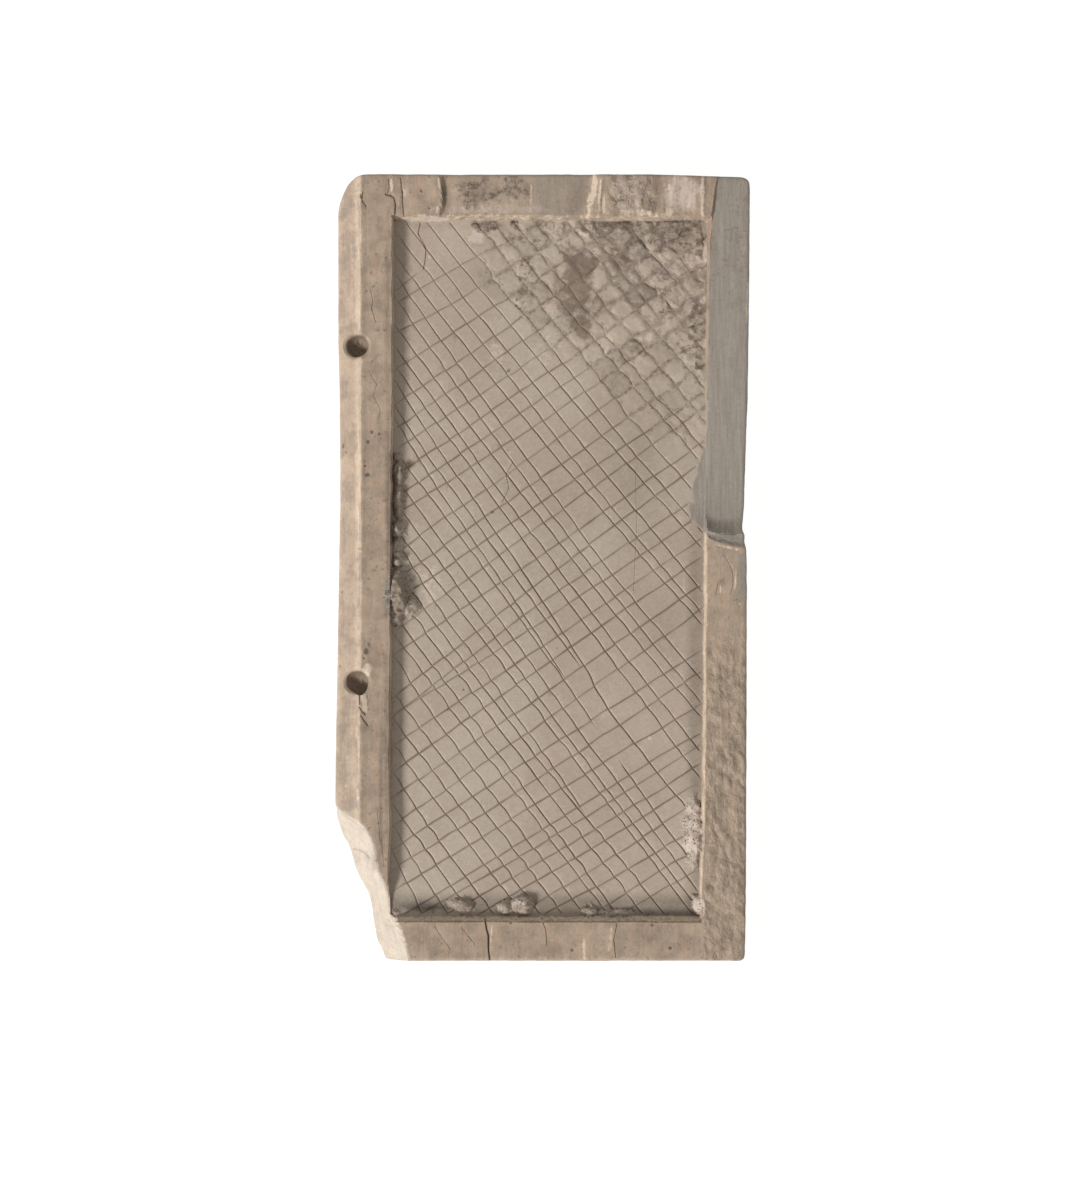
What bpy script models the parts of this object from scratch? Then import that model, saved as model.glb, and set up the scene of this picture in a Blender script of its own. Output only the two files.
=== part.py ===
"""A small ivory writing tablet: one leaf of a folding pair, lying on its back.

The leaf is one solid. A raised frame stands round a shallow floor that once held wax, and the floor is
scored with two crossing families of strokes. The left edge is the hinge edge: it is bevelled down and has
two lacing holes. The lower left corner is broken off, a long flake is gone from the upper right frame,
and hardened dirt clings along the walls.

Units are metres. +X is the right of the leaf, +Y is its top and +Z rises from the writing face. The
origin is the centre of the footprint, on the surface that the leaf lies on.
"""

import math
import random

import bmesh
import bpy
from mathutils import Matrix, Vector

MM = 0.001

# The leaf
LEAF_WIDTH = 43.9 * MM
LEAF_LENGTH = 83.2 * MM
LEAF_THICKNESS = 6.0 * MM
EDGE_ROUNDING = 0.3 * MM
CORNER_RADIUS = 0.5 * MM
WORN_CORNER_RADIUS = 2.9 * MM
RIGHT_EDGE_TAPER = 0.4 * MM
TOP_EDGE_DROP = 0.3 * MM

# The frame and the floor inside it
FRAME_TOP = 5.0 * MM
FRAME_BOTTOM = 4.7 * MM
FRAME_RIGHT = 4.9 * MM
FRAME_LEFT = 5.5 * MM
FLOOR_DEPTH = 1.6 * MM
WALL_RUN = 0.5 * MM
FLOOR_CORNER_RADIUS = 0.4 * MM

# The hinge edge: a gentle bevel at the outside, and a steeper cove that climbs to the frame
BEVEL_WIDTH = 1.7 * MM
BEVEL_RISE = 0.35 * MM
COVE_WIDTH = 0.8 * MM
COVE_RISE = 0.5 * MM
COVE_FACETS = 4

# The lacing holes
HOLE_DIAMETER = 2.1 * MM
HOLE_FROM_EDGE = 2.1 * MM
UPPER_HOLE_FROM_TOP = 18.2 * MM
HOLE_SPACING = 35.4 * MM
MOUTH_FLARE = 0.35 * MM
MOUTH_DEPTH = 0.5 * MM

# The broken lower left corner: how far it reaches along the underside and along the writing face
BREAK_HEIGHT = 16.2 * MM
BREAK_FOOT_WIDTH = 5.2 * MM
BREAK_FACE_WIDTH = 7.8 * MM

# The flake lost from the upper right frame. It dives from the top edge to its end, under the floor's level,
# where it tore out in a shell-shaped hollow with a lip
SPALL_LENGTH = 38.0 * MM
SPALL_TOP_DEPTH = 0.25 * MM
SPALL_END_DEPTH = 1.9 * MM
SPALL_LEAN = 1.3 * MM
SPALL_LEAN_START = 2.0 * MM
SPALL_LEAN_END = 9.0 * MM
SHELL_REACH = 6.0 * MM
SHELL_LENGTH = 9.8 * MM
SHELL_DEPTH = 0.45 * MM
SHELL_LIP = 1.2 * MM
SHELL_FLARE = 1.05
SHELL_SIDES = 20

# The shell's section from its middle out, as shares of its reach and of its depth
SHELL_SECTION = ((0.35, 1.0), (0.75, 0.7), (1.0, 0.0))

# Shallow scars on the top frame, each from its left side to its right side, measured from the left edge
PITTED_SCAR_START = 10.9 * MM
PITTED_SCAR_WIDTH = 7.3 * MM
PITTED_SCAR_DEPTH = 0.22 * MM
SMOOTH_SCAR_START = 18.5 * MM
SMOOTH_SCAR_WIDTH = 8.2 * MM
SMOOTH_SCAR_DEPTH = 0.5 * MM
SCAR_SLANT = 0.5 * MM

# The scored strokes, as V-shaped cuts
SPACING_SCATTER = 0.2
STEEP_ANGLE = math.radians(-53.0)
STEEP_SPACING = 1.8 * MM
STEEP_DEPTH = 0.15 * MM
SHALLOW_ANGLE = math.radians(34.5)
SHALLOW_SPACING = 2.3 * MM
SHALLOW_DEPTH = 0.11 * MM
STROKE_CLEARANCE = 0.55 * MM
SHORTEST_STROKE = 4.0 * MM
STROKE_END_SCATTER = 0.8 * MM
STROKE_END_SHARE = 0.5
STROKE_WAVER = 0.3 * MM
ERODED_CORNER_WIDTH = 11.0 * MM
ERODED_CORNER_LENGTH = 10.0 * MM

# Cracks in the frame
CRACK_DEPTH = 0.16 * MM

# Lumps of hardened dirt along the walls
LUMP_HEIGHT = 0.75 * MM
LUMP_LIFT = 0.05 * MM
LUMP_ROUGHNESS = 0.14

IVORY_COLOUR = (0.43, 0.33, 0.25, 1.0)

OVERCUT = 1.0 * MM
CUT_LIFT = 0.04 * MM
HOLE_SIDES = 20
ARC_STEP = math.radians(18.0)
FLAT_ANGLE = math.radians(0.2)
ROUNDED_FROM = math.radians(60.0)
SEED = 7

LEFT = -LEAF_WIDTH / 2
RIGHT = LEAF_WIDTH / 2
TOP = LEAF_LENGTH / 2
BOTTOM = -LEAF_LENGTH / 2
FLOOR_Z = LEAF_THICKNESS - FLOOR_DEPTH
FLOOR_LEFT = LEFT + FRAME_LEFT
FLOOR_TOP = TOP - FRAME_TOP
FLOOR_BOTTOM = BOTTOM + FRAME_BOTTOM

# Where the top edge starts to drop towards the right, as a share of the width
TOP_EDGE_BEND = 0.78

# The wear of the left and right edges: places as shares of the length below the top, and how far in each is
LEFT_WEAR = ((0.05, 0.30 * MM), (0.30, 0.45 * MM), (0.46, 0.45 * MM),
             (0.58, 0.30 * MM), (0.70, 0.10 * MM), (0.80, 0.0 * MM))
RIGHT_WEAR = ((0.27, 0.05 * MM), (0.36, 0.30 * MM), (0.42, 0.45 * MM),
              (0.436, 0.55 * MM), (0.45, 0.15 * MM), (0.90, 0.0 * MM))

# The broken corner's two edges, as shares of its width and of its height above the leaf's bottom edge
BREAK_FOOT = ((-0.02, 1.00), (0.08, 0.95), (0.20, 0.82), (0.33, 0.75), (0.40, 0.69), (0.53, 0.56),
              (0.71, 0.44), (0.76, 0.36), (0.78, 0.26), (0.88, 0.14), (1.00, 0.00), (1.05, -0.08))
BREAK_FACE = ((-0.01, 1.00), (0.18, 0.95), (0.38, 0.89), (0.49, 0.81), (0.54, 0.73), (0.58, 0.63),
              (0.66, 0.54), (0.72, 0.43), (0.79, 0.29), (0.92, 0.15), (1.00, 0.00), (1.04, -0.08))

# Lumps of dirt: places as shares of the floor's width and length from its lower left, and half sizes
LUMPS = (
    (0.00, 0.640, 0.55 * MM, 1.1 * MM), (0.00, 0.570, 0.45 * MM, 3.6 * MM), (0.01, 0.465, 1.1 * MM, 3.0 * MM),
    (0.25, 0.005, 0.95 * MM, 0.6 * MM), (0.38, 0.005, 0.9 * MM, 0.7 * MM), (0.44, 0.010, 1.2 * MM, 0.9 * MM),
    (0.64, 0.004, 0.8 * MM, 0.45 * MM), (0.99, 0.120, 1.0 * MM, 3.3 * MM), (0.99, 0.020, 0.75 * MM, 0.8 * MM),
)

# Cracks: points as distances from the left edge and from the top edge
CRACKS = (
    ((5.4 * MM, 0.2 * MM), (5.7 * MM, 1.9 * MM), (6.1 * MM, 3.0 * MM), (6.2 * MM, 4.6 * MM)),
    ((6.9 * MM, 0.6 * MM), (7.0 * MM, 2.6 * MM), (6.9 * MM, 4.6 * MM)),
    ((15.6 * MM, 78.7 * MM), (16.0 * MM, 80.6 * MM), (16.2 * MM, 82.9 * MM)),
)


def clear_scene():
    for thing in list(bpy.data.objects):
        bpy.data.objects.remove(thing, do_unlink=True)


def new_collection(name):
    group = bpy.data.collections.new(name)
    bpy.context.scene.collection.children.link(group)
    return group


def ivory():
    material = bpy.data.materials.new("aged_ivory")
    material.use_nodes = True
    shader = material.node_tree.nodes["Principled BSDF"]
    shader.inputs["Base Color"].default_value = IVORY_COLOUR
    shader.inputs["Roughness"].default_value = 0.62
    shader.inputs["Metallic"].default_value = 0.0
    material.diffuse_color = IVORY_COLOUR
    return material


def arc(centre, radius, start, end):
    """Points of a round corner, from one angle to another, both in radians."""
    steps = max(2, math.ceil(abs(end - start) / ARC_STEP))
    angles = [start + (end - start) * i / steps for i in range(steps + 1)]
    return [(centre[0] + radius * math.cos(a), centre[1] + radius * math.sin(a)) for a in angles]


def right_edge(y):
    """The right edge leans in towards the bottom of the leaf."""
    return RIGHT - RIGHT_EDGE_TAPER * (TOP - y) / LEAF_LENGTH


def leaf_outline():
    """Anticlockwise from the lower left: four round corners, with the long edges' wear between."""
    r, worn = CORNER_RADIUS, WORN_CORNER_RADIUS
    start_wear = LEFT_WEAR[0][1]
    points = arc((LEFT + r, BOTTOM + r), r, -math.pi, -math.pi / 2)
    points += arc((right_edge(BOTTOM) - r, BOTTOM + r), r, -math.pi / 2, 0.0)
    for share, wear in reversed(RIGHT_WEAR):
        y = TOP - share * LEAF_LENGTH
        points.append((right_edge(y) - wear, y))
    points += arc((RIGHT - r, TOP - TOP_EDGE_DROP - r), r, 0.0, math.pi / 2)
    points.append((LEFT + TOP_EDGE_BEND * LEAF_WIDTH, TOP))
    points += arc((LEFT + start_wear + worn, TOP - worn), worn, math.pi / 2, math.pi)
    for share, wear in LEFT_WEAR[1:]:
        points.append((LEFT + wear, TOP - share * LEAF_LENGTH))
    return points


def mesh_object(name, mesh, group):
    thing = bpy.data.objects.new(name, mesh)
    group.objects.link(thing)
    return thing


def curve_to_mesh(curve, name, group):
    """The evaluated curve as a mesh object with its caps welded on."""
    guide = bpy.data.objects.new(name + "_curve", curve)
    group.objects.link(guide)
    graph = bpy.context.evaluated_depsgraph_get()
    mesh = bpy.data.meshes.new_from_object(guide.evaluated_get(graph))
    bpy.data.objects.remove(guide, do_unlink=True)
    shape = bmesh.new()
    shape.from_mesh(mesh)
    bmesh.ops.remove_doubles(shape, verts=shape.verts, dist=1e-7)
    bmesh.ops.recalc_face_normals(shape, faces=shape.faces)
    shape.to_mesh(mesh)
    shape.free()
    return mesh_object(name, mesh, group)


def slab(name, outline, low, high, group):
    """A flat outline raised from one height to another."""
    curve = bpy.data.curves.new(name, "CURVE")
    curve.dimensions = "2D"
    curve.fill_mode = "BOTH"
    curve.extrude = (high - low) / 2
    spline = curve.splines.new("POLY")
    spline.points.add(len(outline) - 1)
    for point, (x, y) in zip(spline.points, outline):
        point.co = (x, y, 0.0, 1.0)
    spline.use_cyclic_u = True
    thing = curve_to_mesh(curve, name, group)
    shape = bmesh.new()
    shape.from_mesh(thing.data)
    bmesh.ops.dissolve_limit(shape, angle_limit=FLAT_ANGLE, verts=shape.verts, edges=shape.edges)
    shape.to_mesh(thing.data)
    shape.free()
    thing.data.transform(Matrix.Translation((0.0, 0.0, (low + high) / 2)))
    return thing


def as_cutter(thing):
    thing.hide_render = True
    thing.display_type = "WIRE"
    return thing


def boolean(thing, other, operation):
    change = thing.modifiers.new(other.name, "BOOLEAN")
    change.operation = operation
    change.solver = "EXACT"
    change.object = other


def cone_cutter(name, low_radius, high_radius, low, high, place, group):
    """An upright cone or cylinder between two heights, on an axis at a place in plan."""
    middle = Matrix.Translation((place[0], place[1], (low + high) / 2))
    shape = bmesh.new()
    bmesh.ops.create_cone(shape, cap_ends=True, segments=HOLE_SIDES, radius1=low_radius,
                          radius2=high_radius, depth=high - low, matrix=middle)
    mesh = bpy.data.meshes.new(name)
    shape.to_mesh(mesh)
    shape.free()
    return as_cutter(mesh_object(name, mesh, group))


def hinge_bevel_cutter(group):
    """The section of what the hinge edge has lost, swept along the leaf."""
    low = LEAF_THICKNESS - COVE_RISE - BEVEL_RISE
    foot = LEFT + BEVEL_WIDTH
    cove = [
        (foot + COVE_WIDTH * math.sin(a), LEAF_THICKNESS - COVE_RISE * math.cos(a))
        for a in (math.pi / 2 * i / COVE_FACETS for i in range(COVE_FACETS + 1))
    ]
    section = [(LEFT - OVERCUT, low - BEVEL_RISE * OVERCUT / BEVEL_WIDTH)] + cove
    section += [(cove[-1][0], LEAF_THICKNESS + OVERCUT), (LEFT - OVERCUT, LEAF_THICKNESS + OVERCUT)]
    reach = LEAF_LENGTH / 2 + OVERCUT
    thing = slab("hinge_bevel_cutter", section, -reach, reach, group)
    thing.data.transform(Matrix.Rotation(math.pi / 2, 4, "X"))
    return as_cutter(thing)


def floor_cutter(group):
    """The sunk floor: its four corners, widened by the lean of the walls on the way up."""
    def ring(spread):
        r = FLOOR_CORNER_RADIUS + spread
        left, bottom, top = FLOOR_LEFT + r - spread, FLOOR_BOTTOM + r - spread, FLOOR_TOP - r + spread
        low_right = right_edge(FLOOR_BOTTOM) - FRAME_RIGHT - r + spread
        high_right = right_edge(FLOOR_TOP) - FRAME_RIGHT - r + spread
        corners = ((left, bottom), (low_right, bottom), (high_right, top), (left, top))
        turns = [(k * math.pi / 2 - math.pi, k * math.pi / 2 - math.pi / 2) for k in range(4)]
        return [point for corner, turn in zip(corners, turns) for point in arc(corner, r, *turn)]

    lean = WALL_RUN / FLOOR_DEPTH
    return loft("floor_cutter", (ring(0.0), ring(lean * (FLOOR_DEPTH + OVERCUT))),
                (FLOOR_Z, LEAF_THICKNESS + OVERCUT), group)


def loft(name, rings, heights, group):
    """A solid between level rings with the same number of points, lowest first."""
    shape = bmesh.new()
    rows = [[shape.verts.new((x, y, z)) for x, y in ring] for ring, z in zip(rings, heights)]
    for lower, upper in zip(rows, rows[1:]):
        for i in range(len(lower)):
            j = (i + 1) % len(lower)
            shape.faces.new((lower[i], lower[j], upper[j], upper[i]))
    shape.faces.new(list(reversed(rows[0])))
    shape.faces.new(rows[-1])
    bmesh.ops.triangulate(shape, faces=shape.faces)
    bmesh.ops.recalc_face_normals(shape, faces=shape.faces)
    mesh = bpy.data.meshes.new(name)
    shape.to_mesh(mesh)
    shape.free()
    return as_cutter(mesh_object(name, mesh, group))


def broken_corner_cutter(group):
    """The lost corner, between the edge of the break below and its edge on the writing face."""
    def ring(edge, width):
        points = [(LEFT + x * width, BOTTOM + y * BREAK_HEIGHT) for x, y in edge]
        last = points[-1]
        return points + [(last[0], BOTTOM - 2 * OVERCUT), (LEFT - 2 * OVERCUT, BOTTOM - 2 * OVERCUT),
                         (LEFT - 2 * OVERCUT, points[0][1])]

    rings = (ring(BREAK_FOOT, BREAK_FOOT_WIDTH), ring(BREAK_FACE, BREAK_FACE_WIDTH))
    return loft("broken_corner_cutter", rings, (-CUT_LIFT, LEAF_THICKNESS + CUT_LIFT), group)


def hole_cutters(name, y, group):
    """A through hole, and its worn, flared mouth at the level of the hinge bevel."""
    radius = HOLE_DIAMETER / 2
    place = (LEFT + HOLE_FROM_EDGE, y)
    foot = LEAF_THICKNESS - COVE_RISE - BEVEL_RISE / 2 - MOUTH_DEPTH
    high = LEAF_THICKNESS + OVERCUT
    flared = radius + (high - foot) * MOUTH_FLARE / MOUTH_DEPTH / 2
    return (cone_cutter(name, radius, radius, -OVERCUT, high, place, group),
            cone_cutter(name + "_mouth", radius, flared, foot, high, place, group))


def spall_cutter(group):
    """The long flake: from the top edge down the right frame, on a plane that dives to its end."""
    low = TOP - SPALL_LENGTH
    inner = RIGHT - FRAME_RIGHT + WALL_RUN / 2
    upper = inner + SPALL_LEAN
    outline = [(inner, low), (RIGHT + OVERCUT, low), (RIGHT + OVERCUT, TOP + OVERCUT),
               (upper, TOP + OVERCUT), (upper, TOP - SPALL_LEAN_START), (inner, TOP - SPALL_LEAN_END)]
    thing = loft("spall_cutter", (outline, outline), (0.0, LEAF_THICKNESS + OVERCUT), group)
    for corner in thing.data.vertices:
        if corner.co.z == 0.0:
            share = (TOP - corner.co.y) / SPALL_LENGTH
            corner.co.z = LEAF_THICKNESS - SPALL_TOP_DEPTH - share * (SPALL_END_DEPTH - SPALL_TOP_DEPTH)
    return thing


def shell_cutter(group):
    """The shell-shaped end of the flake: a shallow hollow under the floor's level, with a curved lip."""
    half = SHELL_LENGTH / 2
    centre = TOP - SPALL_LENGTH + SHELL_LIP / 2 + half
    angles = [2 * math.pi * i / SHELL_SIDES for i in range(SHELL_SIDES)]

    def ring(share, lip):
        turns = [(math.cos(a), math.sin(a)) for a in angles]
        return [(RIGHT + share * SHELL_REACH * c, centre + s * (share * half + (lip if s < 0.0 else 0.0)))
                for c, s in turns]

    climb = FLOOR_DEPTH + OVERCUT
    rings = [ring(share, 0.0) for share, _ in SHELL_SECTION]
    rings.append(ring(SHELL_FLARE, SHELL_LIP * climb / FLOOR_DEPTH))
    heights = [FLOOR_Z - depth * SHELL_DEPTH for _, depth in SHELL_SECTION] + [FLOOR_Z + climb]
    return loft("shell_cutter", rings, heights, group)


def scar_cutter(name, start, width, depth, group):
    """A shallow scar across the top frame, with slanted ends."""
    left = LEFT + start
    inner, outer = FLOOR_TOP - OVERCUT, TOP + OVERCUT

    def ring(spread):
        return [(left - SCAR_SLANT - spread, inner), (left + width - SCAR_SLANT + spread, inner),
                (left + width + spread, outer), (left - spread, outer)]

    return loft(name, (ring(0.0), ring(OVERCUT)), (LEAF_THICKNESS - depth, LEAF_THICKNESS + OVERCUT), group)


def stroke_span(angle, offset):
    """Where a straight stroke at this offset enters and leaves the floor, as distances along it."""
    along = Vector((math.cos(angle), math.sin(angle)))
    start = Vector((-along.y, along.x)) * offset
    low, high = -LEAF_LENGTH, LEAF_LENGTH
    right = right_edge(FLOOR_BOTTOM) - FRAME_RIGHT
    for place, step, least, most in (
        (start.x, along.x, FLOOR_LEFT + STROKE_CLEARANCE, right - STROKE_CLEARANCE),
        (start.y, along.y, FLOOR_BOTTOM + STROKE_CLEARANCE, FLOOR_TOP - STROKE_CLEARANCE),
    ):
        ends = sorted(((least - place) / step, (most - place) / step))
        low, high = max(low, ends[0]), min(high, ends[1])
    return low, high


def in_eroded_corner(point):
    """Whether a point lies in the upper right corner of the floor, where the strokes are worn away."""
    right = (RIGHT - FRAME_RIGHT - point.x) / ERODED_CORNER_WIDTH
    down = (FLOOR_TOP - point.y) / ERODED_CORNER_LENGTH
    return right + down < 1.0


def scoring_bars(name, depth):
    """An empty curve whose lines become four-sided bars. Laid on a surface, each leaves a V-shaped cut."""
    curve = bpy.data.curves.new(name, "CURVE")
    curve.dimensions = "2D"
    curve.bevel_depth = depth + CUT_LIFT
    curve.bevel_resolution = 0
    curve.use_fill_caps = True
    return curve


def add_bar(curve, stops, shares):
    spline = curve.splines.new("POLY")
    spline.points.add(len(stops) - 1)
    for point, stop, share in zip(spline.points, stops, shares):
        point.co = (stop[0], stop[1], 0.0, 1.0)
        point.radius = share


def laid_bars(curve, surface_z, group):
    """The bars as one cutter, just above the surface, so that no corner of a bar lies in it."""
    thing = curve_to_mesh(curve, curve.name, group)
    thing.data.transform(Matrix.Translation((0.0, 0.0, surface_z + CUT_LIFT)))
    return as_cutter(thing)


def family(name, angle, spacing, depth, seed, group):
    """One family of scored strokes, wavering a little, from wall to wall."""
    dice = random.Random(seed)
    along = Vector((math.cos(angle), math.sin(angle)))
    across = Vector((-along.y, along.x))
    half = (abs(across.x) * LEAF_WIDTH + abs(across.y) * LEAF_LENGTH) / 2
    curve = scoring_bars(name, depth)
    offset = -half
    while offset < half:
        low, high = stroke_span(angle, offset)
        low += dice.random() * STROKE_END_SCATTER
        high -= dice.random() * STROKE_END_SCATTER
        tilt, bow = dice.uniform(-STROKE_WAVER, STROKE_WAVER), dice.uniform(-STROKE_WAVER, STROKE_WAVER)
        places = ((low, offset - tilt), ((low + high) / 2, offset + bow / 2), (high, offset + tilt))
        offset += spacing * (1.0 + dice.uniform(-SPACING_SCATTER, SPACING_SCATTER))
        stops = [along * reach + across * side for reach, side in places]
        if high - low < SHORTEST_STROKE or in_eroded_corner(stops[1]):
            continue
        add_bar(curve, stops, (STROKE_END_SHARE, 1.0, STROKE_END_SHARE))
    return laid_bars(curve, FLOOR_Z, group)


def crack_cutter(group):
    curve = scoring_bars("cracks", CRACK_DEPTH)
    for crack in CRACKS:
        add_bar(curve, [(LEFT + x, TOP - y) for x, y in crack], [1.0] * len(crack))
    return laid_bars(curve, LEAF_THICKNESS, group)


def dirt_lump(index, share_x, share_y, half_x, half_y, group):
    """A low uneven lump of hardened dirt, sunk a little into the floor and the wall that it clings to."""
    dice = random.Random(SEED + index)
    shape = bmesh.new()
    bmesh.ops.create_icosphere(shape, subdivisions=2, radius=1.0)
    for corner in shape.verts:
        corner.co *= 1.0 + dice.uniform(-LUMP_ROUGHNESS, LUMP_ROUGHNESS)
    name = f"dirt_lump_{index + 1}"
    mesh = bpy.data.meshes.new(name)
    shape.to_mesh(mesh)
    shape.free()
    y = FLOOR_BOTTOM + share_y * (FLOOR_TOP - FLOOR_BOTTOM)
    right = right_edge(y) - FRAME_RIGHT
    x = FLOOR_LEFT + share_x * (right - FLOOR_LEFT)
    size = Matrix.Diagonal((half_x, half_y, LUMP_HEIGHT, 1.0))
    mesh.transform(Matrix.Translation((x, y, FLOOR_Z + LUMP_LIFT)) @ size)
    return as_cutter(mesh_object(name, mesh, group))


def leaf_slab(group):
    """The whole leaf before anything is cut, with its worn edges."""
    leaf = slab("writing_tablet", leaf_outline(), 0.0, LEAF_THICKNESS, group)
    leaf.data.materials.append(ivory())
    rounding = leaf.modifiers.new("worn_edges", "BEVEL")
    rounding.width = EDGE_ROUNDING
    rounding.segments = 2
    rounding.limit_method = "ANGLE"
    rounding.angle_limit = ROUNDED_FROM
    return leaf


def writing_tablet():
    leaf = leaf_slab(new_collection("writing_tablet"))
    cutters = new_collection("cutters")
    upper_hole = TOP - UPPER_HOLE_FROM_TOP
    removed = [
        hinge_bevel_cutter(cutters),
        floor_cutter(cutters),
        scar_cutter("pitted_scar", PITTED_SCAR_START, PITTED_SCAR_WIDTH, PITTED_SCAR_DEPTH, cutters),
        scar_cutter("smooth_scar", SMOOTH_SCAR_START, SMOOTH_SCAR_WIDTH, SMOOTH_SCAR_DEPTH, cutters),
        spall_cutter(cutters),
        shell_cutter(cutters),
        broken_corner_cutter(cutters),
        *hole_cutters("upper_hole", upper_hole, cutters),
        *hole_cutters("lower_hole", upper_hole - HOLE_SPACING, cutters),
        crack_cutter(cutters),
        family("steep_strokes", STEEP_ANGLE, STEEP_SPACING, STEEP_DEPTH, SEED, cutters),
        family("shallow_strokes", SHALLOW_ANGLE, SHALLOW_SPACING, SHALLOW_DEPTH, SEED + 1, cutters),
    ]
    for cutter in removed:
        boolean(leaf, cutter, "DIFFERENCE")
    for index, lump in enumerate(LUMPS):
        boolean(leaf, dirt_lump(index, *lump, cutters), "UNION")
    return leaf


def main():
    clear_scene()
    writing_tablet()


main()
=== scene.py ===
"""Looks of a small ivory writing tablet: one leaf with a sunk floor that is scored with crossing strokes.

The leaf is one piece. Its plan is drawn as lines, such as the outline, the feet of the walls, each stroke
and each crack. A constrained triangulation joins them with a scatter of places between, and a height is
then worked out for every place. Marks are kept in the mesh as attributes, which the ivory's material
reads. Plan places are read off the photograph in its pixels, with y down, and heights are in millimetres.
"""

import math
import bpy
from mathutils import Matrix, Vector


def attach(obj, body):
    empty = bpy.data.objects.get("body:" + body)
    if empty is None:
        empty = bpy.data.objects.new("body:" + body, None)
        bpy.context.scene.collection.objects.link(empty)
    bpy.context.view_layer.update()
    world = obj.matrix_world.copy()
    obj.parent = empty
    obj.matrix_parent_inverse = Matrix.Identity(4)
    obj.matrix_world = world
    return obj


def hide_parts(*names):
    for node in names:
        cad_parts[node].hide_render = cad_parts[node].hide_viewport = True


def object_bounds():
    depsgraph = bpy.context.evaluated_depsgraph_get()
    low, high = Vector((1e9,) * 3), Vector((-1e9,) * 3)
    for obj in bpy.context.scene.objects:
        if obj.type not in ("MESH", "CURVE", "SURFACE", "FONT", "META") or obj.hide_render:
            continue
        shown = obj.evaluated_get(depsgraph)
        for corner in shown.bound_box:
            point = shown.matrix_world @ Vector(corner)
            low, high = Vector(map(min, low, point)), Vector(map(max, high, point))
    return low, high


bl_info = {
    "name": "Ivory Writing Tablet",
    "version": (1, 0, 0),
    "blender": (4, 5, 0),
    "location": "View3D > Sidebar > Tablet",
    "description": "Builds a scored ivory leaf with its lacing holes, broken corner and hardened dirt",
    "category": "Add Mesh",
}

from typing import NamedTuple

import bpy
import numpy as np
from mathutils import Vector
from mathutils.geometry import delaunay_2d_cdt
from mathutils.kdtree import KDTree

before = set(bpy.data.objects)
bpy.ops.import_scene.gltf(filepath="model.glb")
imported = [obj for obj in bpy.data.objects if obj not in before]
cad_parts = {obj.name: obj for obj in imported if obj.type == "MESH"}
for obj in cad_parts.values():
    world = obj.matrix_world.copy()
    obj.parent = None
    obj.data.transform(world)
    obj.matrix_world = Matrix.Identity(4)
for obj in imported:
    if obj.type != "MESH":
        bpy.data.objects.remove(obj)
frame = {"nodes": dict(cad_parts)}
CAD_LOW, CAD_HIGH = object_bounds()

MM = 0.001
PX_PER_MM = 9.46

# How many millimetres a pixel of the photograph is
PX = 1.0 / PX_PER_MM
CENTRE_PX = (542.5, 567.5)
PHOTO_SIZE_PX = (1085, 1200)
LEAF_TOP_MM = CAD_HIGH.z / MM

# The frame of the scored strokes: u runs across the steep ones and v runs down along them
ALONG_U = (0.7986, -0.6018)
ALONG_V = (0.6018, 0.7986)

# The outline in the photograph, clockwise from the foot of the break
BREAK_FOOT_PX = (
    (385, 961), (384, 958), (381.6, 951), (377, 943), (373, 923), (370.6, 906), (368, 895), (359.6, 880),
    (354.4, 869), (350, 852), (347, 844.6), (341.4, 835.4), (336.4, 820), (335.4, 808),
)
LEFT_EDGE_PX = (
    (335, 796), (335.6, 750), (337.4, 650), (339, 560), (340, 500), (339.6, 400), (338, 340), (338, 215),
)
WORN_CORNER_PX = ((338.4, 209), (340.2, 202), (344.2, 190.5), (349.4, 182.4), (356.5, 176))
TOP_EDGE_PX = ((364, 174.0), (450, 174.4), (560, 174), (662, 174.4), (700, 175.6), (742, 177))
RIGHT_EDGE_PX = (
    (747, 178.6), (749.6, 182), (750, 188), (749.4, 290), (748, 400), (746, 450), (744.6, 500),
    (743.4, 520), (742.4, 526), (742.6, 531), (745, 535), (744.4, 542), (746.6, 548), (747, 600),
    (746.6, 750), (746, 900), (745, 955), (744, 959.4), (740.5, 961),
)
BOTTOM_EDGE_PX = ((700, 960.8), (600, 961), (500, 960.8), (420, 961))

# Where the break meets the writing face
BREAK_FACE_PX = (
    (335.5, 807), (342, 812), (348, 816), (357, 821), (364, 826), (370, 838), (374.2, 850), (376.2, 862),
    (378, 872), (382, 880), (385, 888), (387, 899), (389.6, 910), (393.4, 916), (397, 923), (403, 938),
    (406, 950), (409, 962),
)

# The lost flake: its border on the floor's side, and the inner and outer lips of its shell-shaped end
FLAKE_BORDER_PX = (
    (170, 720), (190, 716), (215, 713.0), (240, 710.6), (300, 709.3), (360, 708.0), (445, 706), (458, 700),
    (470, 697), (490, 692), (505, 689.4), (514, 689.6), (520, 692), (527, 700), (534, 706),
)
INNER_LIP_PX = ((688, 514), (697, 521), (704, 528), (712, 532), (722, 534.6), (735, 535), (745, 531))
OUTER_LIP_PX = ((696, 524), (703, 533), (710, 538.5), (720, 542.5), (733, 546), (748, 548.8))

# The edges of the frame round the floor, and how far each wall runs from its edge to the floor
FRAME_LEFT_PX = (
    (215, 391.6), (300, 391.4), (420, 391.0), (560, 390.2), (720, 388.8), (790, 388.8), (825, 389.4),
    (842, 388.6), (858, 387.7), (875, 387.7), (890, 387.9), (915, 388.6),
)
FRAME_RIGHT_PX = ((220, 711.8), (450, 711.2), (545, 708.2), (700, 707.6), (850, 705.2), (915, 703.0))
FRAME_TOP_PX = 215.0
FRAME_BOTTOM_PX = 922.6
WALL_RUNS_PX = {"left": 2.6, "right": 5.4, "top": 5.6, "bottom": 7.0}

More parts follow.
